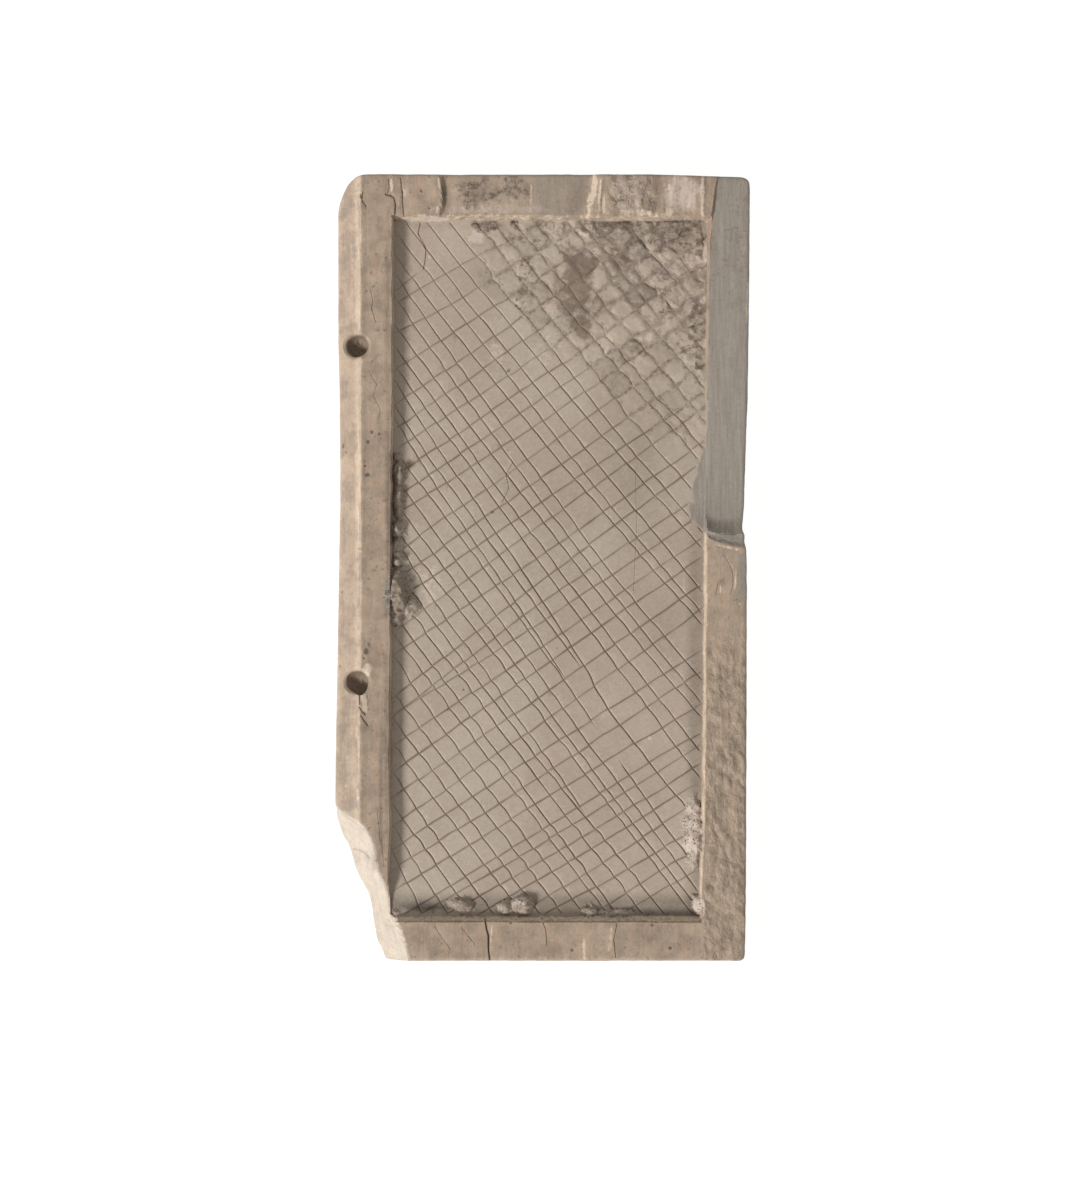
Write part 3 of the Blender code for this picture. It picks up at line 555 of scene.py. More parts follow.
class Leaf:
    """The shape of the leaf, as functions of a place in the photograph."""

    def __init__(self, leaf, scoring):
        self.leaf = leaf
        self.scoring = scoring
        self.floor_depth = leaf.floor_depth / MM
        self.hole_radius = leaf.hole_diameter / MM / 2 * PX_PER_MM
        self.half_stroke = scoring.stroke_width / MM / 2 * PX_PER_MM
        corners = BREAK_FOOT_PX + LEFT_EDGE_PX + WORN_CORNER_PX + TOP_EDGE_PX + RIGHT_EDGE_PX + BOTTOM_EDGE_PX
        worn = np.array(softened(sampled(corners, 2.8, closed=True), 1, closed=True))
        worn = worn + 0.3 * np.stack([mottle(worn[:, 0], worn[:, 1], 9, 9, seed) for seed in (3, 4)], 1)
        self.outline = [tuple(p) for p in worn]
        self.break_foot = [p for p in self.outline[:90] if p[1] > BREAK_TOP_PX and p[0] < 387]
        self.break_face = softened(sampled(BREAK_FACE_PX, 2.4), 2)
        self.strokes = self.laid_strokes()
        self.crossings = {stroke.number: self.crossed(stroke) for stroke in self.strokes}
        self.eaten_along = {stroke.number: self.eaten_stretch(stroke) for stroke in self.strokes}

    def crossed(self, stroke):
        """Where the strokes of the other family cross this one, in order along it."""
        places = [-1e4, 1e4]
        for other in self.strokes:
            if other.family == stroke.family:
                continue
            along = 0.5 * (stroke.start + stroke.end)
            for _ in range(6):
                side = float(follow(stroke.line, along))
                along = float(follow(other.line, side))
            if other.start < side < other.end and stroke.start < along < stroke.end:
                places.append(along)
        return np.array(sorted(places))

    def eaten_stretch(self, stroke):
        """How eaten the floor is at even steps along a stroke."""
        t = np.arange(stroke.start, stroke.end + 4.0, 4.0)
        return t, self.eroded(*from_uv(*turned(stroke.family, t, follow(stroke.line, t))))

    def left_edge(self, y):
        """Where the frame's edge over the floor runs on the left, as on its other sides below."""
        return follow(FRAME_LEFT_PX, y) + 0.9 * mottle(y, 0.0, 22, 22, 11, 3)

    def right_edge(self, y):
        return follow(FRAME_RIGHT_PX, y) + 0.9 * mottle(y, 0.0, 18, 18, 12, 3)

    def top_edge(self, x):
        return FRAME_TOP_PX + 1.9 * mottle(x, 0.0, 20, 20, 13, 4)

    def bottom_edge(self, x):
        return FRAME_BOTTOM_PX + 0.9 * mottle(x, 0.0, 24, 24, 14, 3)

    def sunk(self, x, y):
        """0 on the frame, 1 on the floor, and between them on the walls."""
        runs = WALL_RUNS_PX
        shares = ((x - self.left_edge(y)) / runs["left"], (self.right_edge(y) - x) / runs["right"],
                  (y - self.top_edge(x)) / runs["top"], (self.bottom_edge(x) - y) / runs["bottom"])
        return np.clip(np.minimum.reduce(shares), 0.0, 1.0)

    def wall_loop(self, share):
        """A level line round the walls, from the frame's edge at 0 to the floor at 1."""
        def left(y):
            return float(self.left_edge(y) + share * WALL_RUNS_PX["left"])

        def right(y):
            return float(self.right_edge(y) - share * WALL_RUNS_PX["right"])

        def top(x):
            return float(self.top_edge(x) + share * WALL_RUNS_PX["top"])

        def bottom(x):
            return float(self.bottom_edge(x) - share * WALL_RUNS_PX["bottom"])

        low_x, high_x, low_y, high_y = left(220), right(220), top(400), bottom(400)
        xs = np.linspace(low_x, high_x, int((high_x - low_x) / WALL_SPACING_PX))
        ys = np.linspace(low_y, high_y, int((high_y - low_y) / WALL_SPACING_PX))
        line = [(x, top(x)) for x in xs[1:-1]] + [(right(y), y) for y in ys[1:-1]]
        line += [(x, bottom(x)) for x in xs[-2:0:-1]] + [(left(y), y) for y in ys[-2:0:-1]]
        return line

    def laid_strokes(self):
        """The strokes of both families, drawn on to the walls that they stop near."""
        strokes = []
        for family, rows in enumerate((STEEP_STROKES, SHALLOW_STROKES)):
            for number, row in enumerate(rows):
                line, free = self.reaching(list(swapped(row) if family == 0 else row), family)
                share = STROKE_SHARES[family] + 0.2 * float(lattice(np.int64(number), np.int64(family), 5))
                strokes.append(Stroke(start=line[0][0], end=line[-1][0], line=line, share=share,
                                      number=100 * family + number, family=family, free=free))
        return strokes

    def reaching(self, line, family):
        """Draws a stroke on to a wall that is near. Its free ends are those that taper."""
        free = []
        for end in (0, -1):
            (t, side), (before, side_before) = line[end], line[1 if end == 0 else -2]
            way = 1.0 if t > before else -1.0
            lean = (side - side_before) / (t - before)
            on = np.arange(0.0, self.scoring.reach / MM * PX_PER_MM, 1.0)
            ts, sides = t + way * on, side + lean * way * on
            walled = np.nonzero(self.sunk(*from_uv(*turned(family, ts, sides))) < 0.97)[0]
            free.append(len(walled) == 0)
            if len(walled) and walled[0] > 0:
                far = (float(ts[walled[0]]), float(sides[walled[0]]))
                line = [far] + line if end == 0 else line + [far]
        return line, free

    def stroke_side(self, stroke, t):
        """Where a stroke's valley runs at a distance along it."""
        number, family = stroke.number, stroke.family
        waver = mottle(t, 0.0, STROKE_WAVES_PX[family], 30, 200 + number, 3)
        side = follow(stroke.line, t) + STROKE_WAVERS_PX[family] * waver
        side = side + 4.2 * np.interp(t, *self.eaten_along[number]) * mottle(t, 0.0, 13, 13, 800 + number, 2)
        places = self.crossings[number]
        cell = np.clip(np.searchsorted(places, t) - 1, 0, len(places) - 2)
        chance = lattice(cell, np.int64(number), 19)
        if family == 1:
            return side + 0.6 * chance
        width = places[cell + 1] - places[cell]
        bowed = np.where(width < 60, np.sin(np.pi * ((t - places[cell]) / width)), 0.0)
        return side + (0.9 if number < LOOSE_STROKES else 0.5) * (1.0 + chance) * bowed

    def stroke_half(self, stroke, t):
        """Half a stroke's width, which narrows to its ends."""
        worn = 1.0 + 0.3 * mottle(t, 0.0, 14, 14, 400 + stroke.number, 2)
        width = self.half_stroke * STROKE_WIDTHS[stroke.family]
        return width * (0.35 + 0.65 * self.taper(stroke, t)) * worn

    def taper(self, stroke, t):
        """0 at a stroke's free ends, 1 along its middle."""
        ends = [np.clip(away / 10.0, 0.0, 1.0) if free else np.clip(away / 6.0 + 0.35, 0.0, 1.0)
                for away, free in zip((t - stroke.start, stroke.end - t), stroke.free)]
        return np.minimum(*ends)

    def scored(self, x, y):
        """At each place: how deep the strokes are, how dirty, and how much of their lit side shows."""
        places = to_uv(x, y)
        depth, dirt, lit = np.zeros((3, len(x)))
        deepest = self.scoring.stroke_depth / MM
        for stroke in self.strokes:
            t, side = turned(stroke.family, *places)
            sides = [p[1] for p in stroke.line]
            middle = 0.5 * (min(sides) + max(sides))
            reach = 0.5 * (max(sides) - min(sides)) + 6
            near = (t > stroke.start) & (t < stroke.end) & (abs(side - middle) < reach)
            tn = t[near]
            off = (side[near] - self.stroke_side(stroke, tn)) / self.stroke_half(stroke, tn)
            taper = self.taper(stroke, tn) * (1.0 + 0.3 * mottle(tn, 0.0, 26, 26, 600 + stroke.number, 3))
            taper = taper * (0.75 + 0.25 * rise(230, 470, y[near]))
            cut = np.clip(1.0 - abs(off), 0.0, 1.0)
            depth[near] = np.maximum(depth[near], cut * stroke.share * deepest * (0.25 + 0.75 * taper))
            # On a steep stroke the dirt reaches farther on the side turned from the key light, as painted
            # shade, and lit marks the painted highlight on the side that faces it
            if stroke.family == 0:
                soiled = np.clip(1.0 - np.where(off < 0, 0.62, 0.95) * abs(off), 0.0, 1.0)
                lit[near] = np.maximum(lit[near], np.clip(1.0 - abs(off - 1.0), 0.0, 1.0) * taper)
            else:
                uneven = 0.86 + 0.16 * mottle(tn, 0.0, 60, 60, 700 + stroke.number, 2)
                soiled = uneven * np.clip(1.0 - 0.6 * abs(off), 0.0, 1.0)
            dirt[near] = np.maximum(dirt[near], soiled * (0.35 + 0.65 * taper))
        return depth, dirt, lit

    def in_flake(self, x, y):
        """How far each place lies inside the lost flake, from the border on the floor's side."""
        return x - follow(FLAKE_BORDER_PX, y) - 0.5 * mottle(y, 0.0, 12, 12, 21, 3)

    def heights(self, x, y):
        """The height of the upper surface in mm."""
        top = np.full(len(x), LEAF_TOP_MM - 0.06)
        top += 0.045 * mottle(x, y, 50, 70, 31, 3) + 0.030 * mottle(x, y, 5.5, 36, 32, 2)
        hinge = self.hinged(x, y)
        climb, fall = self.leaf.cove_rise / MM, self.leaf.bevel_rise / MM
        top -= (climb * (1.0 - rise(COVE_FOOT_PX, COVE_HEAD_PX, hinge))
                + fall * np.clip((COVE_FOOT_PX - hinge) / LEDGE_RUN_PX, 0.0, 1.3))
        top += 0.07 * rise(357.5, 361.0, hinge) * rise(366.0, 361.5, hinge)
        top += self.top_frame_relief(x, y) + self.right_frame_relief(x, y)

        sunk = self.sunk(x, y)
        floor = LEAF_TOP_MM - self.floor_depth + 0.05 * mottle(x, y, 110, 130, 34, 2)
        floor += 0.010 * mottle(x, y, 7, 7, 35, 3)
        wall = sunk * (0.6 + sunk * (1.2 - 0.8 * sunk))
        rough_wall = 0.09 * mottle(x, y, 6, 6, 36, 3) * 4 * sunk * (1 - sunk)
        z = top * (1 - wall) + floor * wall + rough_wall

        flake = self.in_flake(x, y)
        z = self.flaked(x, y, z, flake)
        cut, _, _ = self.scored(x, y)
        lumps = self.lumps(x, y)
        cut *= 1 - 0.6 * self.eroded(x, y)
        z -= cut * rise(0.9, 1.0, sunk) * (flake < 0) * rise(0.2, 0.05, lumps)
        z = np.where(lumps > 0.02, np.maximum(z, LEAF_TOP_MM - self.floor_depth + lumps), z)
        z += self.crusted_relief(x, y, sunk)
        for half, depth, points in CRACKS:
            z -= depth * np.clip(1.0 - line_distance(x, y, points) / half, 0.0, 1.0)
        return self.flaked_hole(x, y, z)

    def flaked(self, x, y, z, flake):
        """The long face of the lost flake, and its climb to the two lips of its shell-shaped end."""
        share = (y - TOP_EDGE_PX[0][1]) * PX / (self.leaf.flake_length / MM)
        plane = LEAF_TOP_MM - 0.25 - share * (self.leaf.flake_depth / MM - 0.25)
        plane += 0.018 * mottle(x, y, 3.0, 60, 37, 3)
        plane = plane + np.clip(-flake, 0.0, None) * PX * 2.4
        inner = follow(INNER_LIP_PX, x) + 0.8 * mottle(x, 0.0, 9, 9, 38, 2)
        outer = follow(OUTER_LIP_PX, x) + 0.8 * mottle(x, 0.0, 9, 9, 39, 2)
        terrace = LEAF_TOP_MM - 0.2 - 0.15 * rise(724, 700, x) - 0.14 * rise(0, 8, y - inner)
        climb = 0.5 * np.clip((y - inner + 62.0) / 62.0, 0.0, 1.0) ** 1.6
        climb = climb + 0.5 * np.clip((y - inner + 15.0) / 15.0, 0.0, 1.0) ** 1.5
        lifted = plane + np.maximum(terrace - plane, 0.0) * climb + 0.3 * rise(-5.0, 1.5, y - outer)
        lifted = lifted + 4.0 * rise(0.0, 4.0, y - outer)
        open_right = rise(FLAKE_LEFT_PX, FLAKE_LEFT_PX + 4, x)
        return np.where(open_right > 0, np.minimum(z, lifted + (1 - open_right) * 4.0), z)

    def hinged(self, x, y):
        """How far a place is across the ledge and the cove, which lean a little."""
        return x + 0.7 * mottle(y, 0.0, 30, 30, 33, 3) + 1.5 * rise(620, 740, y)

    def top_frame_relief(self, x, y):
        """The scars, steps and fibres across the top frame."""
        here = rise(230, 214, y)
        slant = slanted(x, y)
        curl = 3.0 * np.cos((y - 196) / 13.0)
        lost = -0.46 * rise(438.5, 442, x - curl) * rise(598, 587, slant)
        scar = -0.34 * rise(528, 588, slant) ** 1.5 * rise(598, 588, slant)
        ragged = mottle(x, y, 5.5, 5.5, 41, 2)
        crusts = frame_crust(x, y) * (0.14 + 0.20 * ragged)
        rough = 0.30 * mottle(x, y, 6.0, 7, 42, 2) * rise(603, 612, x) * rise(664, 650, x)
        fibres = 0.22 * mottle(x, y, 6.0, 40, 43, 2) * rise(650, 662, x) * rise(712, 702, x)
        ridge = 0.12 * np.exp(-((x - 703) / 2.6) ** 2) + 0.10 * np.exp(-((slant - 600) / 2.2) ** 2)
        steps = 0.05 * (rise(387, 390, x) - rise(394, 397, x))
        steps = steps - 0.07 * (rise(399, 402, x) - rise(405, 408, x))
        return here * (lost + scar + crusts + rough + fibres + ridge + steps)

    def right_frame_relief(self, x, y):
        """Bark-like wrinkles on the lower right frame, and faint ones on the other frames."""
        bent = 5.0 * mottle(x, y, 16, 16, 44, 2)
        bark = 0.17 * mottle(0.83 * x - 0.55 * y + bent, 0.55 * x + 0.83 * y, 5.2, 11, 45, 2)
        bark += 0.08 * mottle(x, y, 11, 13, 48, 2)
        lower = 0.09 * mottle(x + 0.5 * y, y, 9, 14, 46, 2) * rise(915, 925, y)
        lower += 0.05 * mottle(x, y, 7, 22, 49, 2) * rise(386, 380, x) * rise(215, 235, y)
        return bark * wrinkled(x, y) + lower

    def eroded(self, x, y):
        """The eaten and crusted zone in the floor's upper right."""
        reach = x - follow(EATEN_BORDER_PX, y) + 30 * mottle(x, y, 34, 34, 51, 3)
        near = 1.1 - np.hypot((705 - x) / 230.0, (y - 215) / 190.0)
        return rise(-20, 24, reach) * (0.6 + 0.4 * rise(0.1, 0.8, near))

    def tiles(self, x, y):
        """For the cells between the strokes: a tone from -1 to 1, and the eaten grooves round them."""
        places = to_uv(x, y)
        counts = np.zeros((2, len(x)), np.int64)
        nearest = np.full((2, len(x)), 99.0)
        for stroke in self.strokes:
            family = stroke.family
            t, side = turned(family, *places)
            off = side - self.stroke_side(stroke, t)
            counts[family] += off > 0
            there = (t > stroke.start - 3) & (t < stroke.end + 3)
            nearest[family] = np.where(there, np.minimum(nearest[family], abs(off)), nearest[family])
        rounded = 1.0 / (1.0 / (nearest[0] + 0.05) + 1.0 / (nearest[1] + 0.05))
        groove = rise(2.8, 1.2, rounded + 1.6 * mottle(x, y, 6, 6, 58, 2)) * self.eroded(x, y)
        return lattice(counts[0], counts[1], 57), groove

    def crusted_relief(self, x, y, sunk):
        """How far the crust stands up and the eaten part of the floor is pitted."""
        crust = floor_crust(x, y) * rise(0.4, 1.0, sunk)
        eaten = self.eroded(x, y) * rise(0.5, 1.0, sunk)
        tone, groove = self.tiles(x, y)
        z = crust * (0.10 + 0.24 * mottle(x, y, 5.5, 5.5, 53, 2))
        z += eaten * (0.10 * mottle(x, y, 8, 8, 54, 3) + 0.04 * tone - 0.09 * groove)
        return z

    def lumps(self, x, y):
        """How high the lumps of hardened dirt stand over the floor."""
        best = np.zeros(len(x))
        for *oval, height in LUMPS:
            cx, cy, half_x, half_y, _ = oval
            near = (abs(x - cx) < 1.6 * half_x + 3) & (abs(y - cy) < 1.6 * half_y + 3)
            lx, ly = x[near], y[near]
            rough = 0.4 * mottle(lx, ly, 6, 6, 55, 3)
            dome = np.clip(1.08 - oval_reach(lx, ly, *oval) ** 2 + rough, 0.0, 1.2)
            lump = height * dome ** 0.6 * (0.86 + 0.24 * mottle(lx, ly, 5.5, 5.5, 56, 2))
            best[near] = np.maximum(best[near], lump)
        ring = np.hypot((x - 397.5) / 2.4, (y - 470) / 4.8)
        return best * (1 - 0.45 * rise(1.15, 0.5, ring))

    def flaked_hole(self, x, y, z):
        """Worn mouths round the lacing holes, and the flake that stands loose below the lower one."""
        for cx, cy in HOLES_PX:
            away = np.hypot(x - cx, y - cy) - self.hole_radius
            z = z - 0.28 * rise(4.5, 0.0, away)
        flake = np.hypot((x - 364) / 4.4, (y - 702) / 10.0)
        return z + 0.10 * rise(1.1, 0.7, flake)

    def edge_drop(self, away):
        """How far the worn outer edge falls at a distance from the outline, in mm."""
        radius = self.leaf.edge_rounding / MM
        t = np.clip(away * PX, 0.0, radius)
        return radius - np.sqrt(np.clip(radius ** 2 - (radius - t) ** 2, 0.0, None))

    def broken(self, x, y, z):
        """The face of the break, in layers, between its edge on the writing face and its foot."""
        loop = self.break_face + [(409, 980), (300, 980), (300, CORNER_TOP_PX)]
        corner = (x < CORNER_RIGHT_PX) & (y > CORNER_TOP_PX)
        cx, cy = x[corner], y[corner]
        lost = inside(cx, cy, loop)
        z = np.where((x < 396) & (y > 870) & (y < 918), np.minimum(z, self.worn_wall(x, y)), z)
        foot = line_distance(cx, cy, self.break_foot)
        face = line_distance(cx, cy, self.break_face)
        share = foot / (foot + face + 1e-6)
        layers = share * 5.0 + 0.6 * mottle(cx, cy, 22, 40, 61, 3) + 0.02 * (cy - CORNER_TOP_PX) / 5
        steps = (np.floor(layers) + rise(0.25, 0.75, layers - np.floor(layers))) / 5.0
        climb = np.clip(0.55 * share + 0.45 * steps, 0.0, 1.0)
        climb = climb + 0.035 * mottle(cx, cy, 5, 9, 62, 4) * 4 * share * (1 - share)
        worn = LEAF_TOP_MM - 1.2 * rise(874, 906, cy) * rise(958, 908, cy)
        height = 0.3 + (np.minimum(z[corner], worn) - 0.3) * np.clip(climb, 0.0, 1.0)
        z[corner] = np.where(lost, np.minimum(z[corner], height), z[corner])
        mask = np.zeros(len(x))
        mask[corner] = np.where(lost, 1.0, rise(3.0, 0.0, face))
        return z, mask

    def worn_wall(self, x, y):
        """How high the frame still stands where the break has reached the floor's corner."""
        low = LEAF_TOP_MM - 1.35 * rise(874, 906, y)
        return low + 3.0 * rise(391, 396, x) + 3.0 * rise(914, 918, y)


class Plan:
    """The lines and loose places that the surface is triangulated from."""

    def __init__(self):
        self.places = []
        self.edges = []

    def loose(self, places):
        """Adds places that no line joins."""
        self.places += [(float(x), float(y)) for x, y in places]

    def line(self, points, closed=False):
        """Adds a line that the triangles' edges have to follow."""
        start = len(self.places)
        self.loose(points)
        last = len(points) - 1
        self.edges += [(start + i, start + i + 1) for i in range(last)]
        if closed:
            self.edges.append((start + last, start))

    def triangles(self, merge):
        """Its places, its triangles, and for each place the numbers that it had in the plan."""
        places = [Vector(p) for p in self.places]
        flat, _, faces, numbers, _, _ = delaunay_2d_cdt(places, self.edges, [], 1, merge, True)
        return np.array([tuple(v) for v in flat]), np.array([tuple(f) for f in faces], np.int64), numbers


def unbroken(places, wanted):
    """The runs of two or more wanted places."""
    run = []
    for place, good in [*zip(places, wanted), (None, False)]:
        if good:
            run.append(place)
            continue
        if len(run) > 1:
            yield run
        run = []


def draw_plan(shape):
    """Every line that the surface has to follow."""
    plan = Plan()
    plan.line(shape.outline, closed=True)
    loop = np.array(shape.outline)
    tangent = np.roll(loop, -1, 0) - np.roll(loop, 1, 0)
    tangent /= np.linalg.norm(tangent, axis=1)[:, None]
    inward = np.stack([-tangent[:, 1], tangent[:, 0]], 1)
    sound = ~((loop[:, 0] < CORNER_RIGHT_PX) & (loop[:, 1] > BREAK_TOP_PX))
    for offset in (0.55, 1.3, 2.7):
        for run in unbroken(loop + inward * offset, sound):
            plan.line(run)
    plan.line(shape.break_face[1:-1])
    for share in (0.0, 0.3, 0.65, 1.0):
        plan.line(shape.wall_loop(share), closed=True)
    for level in (COVE_FOOT_PX, 358.0, 361.2, 364.0):
        line = [(level - float(shape.hinged(0.0, y)), y) for y in np.arange(180, 846, 2.8)]
        plan.line([p for p in line if min(math.dist(p, h) for h in HOLES_PX) > shape.hole_radius + 6
                   and (p[1] > 215 or p[0] > 362)])
    for cx, cy in HOLES_PX:
        for wider in (0.0, 1.6, 3.4):
            plan.line(hole_loop(shape, cx, cy, wider), closed=True)
    for offset in (-1.5, 0.0):
        plan.line([(float(follow(FLAKE_BORDER_PX, y)) + offset, y) for y in np.arange(180, 520, 2.6)])
    for lip in (INNER_LIP_PX, OUTER_LIP_PX):
        for offset in (-1.2, 0.4, 2.4):
            plan.line([(x, y + offset) for x, y in sampled(lip, 2.4) if 698 < x < 741])
    for half, _, points in CRACKS:
        for side in (-half, 0.0, half):
            plan.line([(x + side, y) for x, y in sampled(points, 2.2)])
    add_strokes(plan, shape)
    return plan


def hole_loop(shape, cx, cy, wider):
    """A lacing hole's rim. The lower one is pulled out to a point."""
    pull = 0.3 if cy > CENTRE_PX[1] else 0.0
    loop = []
    for i in range(HOLE_POINTS):
        a = 2 * math.pi * i / HOLE_POINTS
        towards = max(0.0, math.cos(a - HOLE_POINT_ANGLE)) ** 6
        worn = 1.0 + 0.05 * float(mottle(math.cos(a) * 3, math.sin(a) * 3, 2, 2, int(cy), 2))
        radius = shape.hole_radius * 1.1 * worn * (1 + pull * towards) + wider
        loop.append((cx + radius * math.cos(a), cy + radius * math.sin(a)))
    return loop


def add_strokes(plan, shape):
    """Three lines for each stroke: its two rims and its valley."""
    for stroke in shape.strokes:
        start, end = stroke.start, stroke.end
        t = np.linspace(start + 0.3, end - 0.3, max(3, int((end - start) / 3.4)))
        side, half = shape.stroke_side(stroke, t), shape.stroke_half(stroke, t)
        for offset in (-half, 0 * half, half):
            x, y = from_uv(*turned(stroke.family, t, side + offset))
            clear = (shape.sunk(x, y) >= 1.0) & (shape.in_flake(x, y) < -1.0) & (shape.lumps(x, y) < 0.15)
            for run in unbroken(zip(x, y), clear):
                plan.line(run)


def small_marks():
    """The middles and half sizes of the marks that the plain spacing would miss."""
    for marks in (STAINS, SPECKS, BLOOMS, FRESH_BREAKS_AND_HIGHLIGHTS, CRUSTS):
        for cx, cy, half_x, half_y, turn, _ in marks:
            if min(half_x, half_y) < 3.5 and abs(turn) < 15:
                yield cx, cy, half_x + 0.8, min(half_y, 60) + 0.8


def scattered(dice, x_span, y_span, step, jitter):
    """The places of a grid, each moved at random by up to a share of its step."""
    x, y = np.meshgrid(np.arange(*x_span, step), np.arange(*y_span, step))
    x = (x + dice.uniform(-jitter, jitter, x.shape) * step).ravel()
    y = (y + dice.uniform(-jitter, jitter, y.shape) * step).ravel()
    return x, y


def fill_plan(plan, shape, seed):
    """Loose places between the lines: close on the frame and the crust, wider on the plain floor."""
    dice = np.random.default_rng(seed)
    tree = KDTree(len(plan.places))
    for index, place in enumerate(plan.places):
        tree.insert((*place, 0.0), index)
    tree.balance()
    fine, wide = shape.leaf.fine_spacing / MM * PX_PER_MM, shape.leaf.floor_spacing / MM * PX_PER_MM
    x, y = scattered(dice, *LEAF_SPAN_PX, fine, 0.35)
    floor = shape.sunk(x, y) >= 1.0
    plain = floor & (np.maximum(floor_crust(x, y), shape.eroded(x, y)) < 0.25)
    chance = np.where(plain, (fine / wide) ** 2, 1.0)
    keep = (dice.random(len(x)) < chance) & inside(x, y, shape.outline) & ~(shape.lumps(x, y) > 0.0)
    _, dirt, _ = shape.scored(x, y)
    keep &= ~((dirt > 0.0) & floor)
    lx, ly = scattered(dice, *FLOOR_SPAN_PX, LUMP_SPACING_PX, 0.4)
    on = shape.lumps(lx, ly) > 0.0
    on |= (shape.eroded(lx, ly) > 0.35) & (shape.sunk(lx, ly) > 0.9) & (dice.random(len(lx)) < 0.6)
    loose = [*zip(x[keep], y[keep]), *zip(lx[on], ly[on])]
    loose = [place for place in loose if tree.find((*place, 0.0))[2] > 1.15]
    for cx, cy, half_x, half_y in small_marks():
        for px in np.arange(cx - half_x, cx + half_x + 0.1, 1.2):
            for py in np.arange(cy - half_y, cy + half_y + 0.1, 1.5 if half_y < 8 else 2.4):
                if tree.find((px, py, 0.0))[2] > 0.8:
                    loose.append((px, py + dice.uniform(-0.3, 0.3)))
    kept = np.array(loose)
    plan.loose(kept[inside(kept[:, 0], kept[:, 1], shape.outline)])


def boundary_loops(faces):
    """The closed lines of places that only one triangle meets."""
    single = {}
    for a, b, c in faces:
        for first, second in ((a, b), (b, c), (c, a)):
            if (second, first) in single:
                del single[(second, first)]
            else:
                single[(first, second)] = True
    ends = {}
    for a, b in single:
        ends.setdefault(a, []).append(b)
    loops = []
    while ends:
        start = next(iter(ends))
        loop, here = [start], ends[start].pop()
        while here != start:
            loop.append(here)
            here = ends[here].pop()
        for key in [k for k, v in ends.items() if not v]:
            del ends[key]
        loops.append(loop)
    return sorted(loops, key=len, reverse=True)


def between(flat, faces, outer, openings):
    """The triangles that lie inside a loop and outside the openings in it."""
    x, y = flat[faces].mean(1).T
    keep = inside(x, y, outer)
    for opening in openings:
        keep &= ~inside(x, y, opening)
    return faces[keep]


def leaf_surface(shape, seed):
    """Places in mm, triangles and the marks of the whole closed leaf."""
    plan = draw_plan(shape)
    fill_plan(plan, shape, seed)
    flat, faces, _ = plan.triangles(2e-3)
    faces = between(flat, faces, shape.outline, [hole_loop(shape, *hole, 0.0) for hole in HOLES_PX])
    used, faces = np.unique(faces, return_inverse=True)
    x, y = flat[used].T
    z = shape.heights(x, y)
    away = np.full(len(x), 1e9)
    corner = (x < CORNER_RIGHT_PX) & (y > CORNER_TOP_PX)
    left, right, top, bottom = EDGE_BAND_PX
    near = (x < left) | (x > right) | (y < top) | (y > bottom) | corner
    away[near] = line_distance(x[near], y[near], shape.outline + shape.outline[:1])
    sharp = (x < SHARP_CORNER_PX[0]) & (y > SHARP_CORNER_PX[1])
    z = z - np.where(sharp, 0.0, shape.edge_drop(away))
    z, broken = shape.broken(x, y, z)
    places = np.stack([x, y, z], 1)
    shell = Shell(places, faces.reshape(-1, 3)[:, ::-1], leaf_marks(shape, places, broken))
    return close_below(shape, shell, seed)


class Shell:
    """The closed surface as it grows: its places, its triangles and the marks of each place."""

    def __init__(self, places, faces, marks):
        self.places = [places]
        self.faces = [faces]
        self.marks = {name: [values] for name, values in marks.items()}
        self.count = len(places)

    def add(self, places, marks):
        """Adds places and returns their numbers. A mark that isn't given is 0."""
        self.places.append(places)
        for name, values in self.marks.items():
            values.append(np.broadcast_to(marks.get(name, 0.0), len(places)))
        self.count += len(places)
        return np.arange(self.count - len(places), self.count)

    def join(self, *triangles):
        """Adds rows of triangles, each given as the numbers of its first, second and third corners."""
        self.faces += [np.stack(triangle, 1) for triangle in triangles]

    def whole(self):
        """All places, triangles and marks."""
        marks = {name: np.concatenate(values) for name, values in self.marks.items()}
        return np.concatenate(self.places), np.concatenate(self.faces), marks


def close_below(shape, shell, seed):
    """Adds the outer walls, the sides of the holes and the flat back."""
    outer, *mouths = boundary_loops(shell.faces[0])
    rims = [sink_loop(shape, shell, outer, 0)]
    for number, mouth in enumerate(mouths, 1):
        loop, rim = sink_loop(shape, shell, mouth, number)
        fill_hole(shell, loop, rim, 1.2, shape.leaf.hole_fill / MM - 0.25, 1)
    rims += [back_mouth(shape, shell, hole) for hole in HOLES_PX]
    add_back(shape, shell, rims, seed)
    return shell.whole()


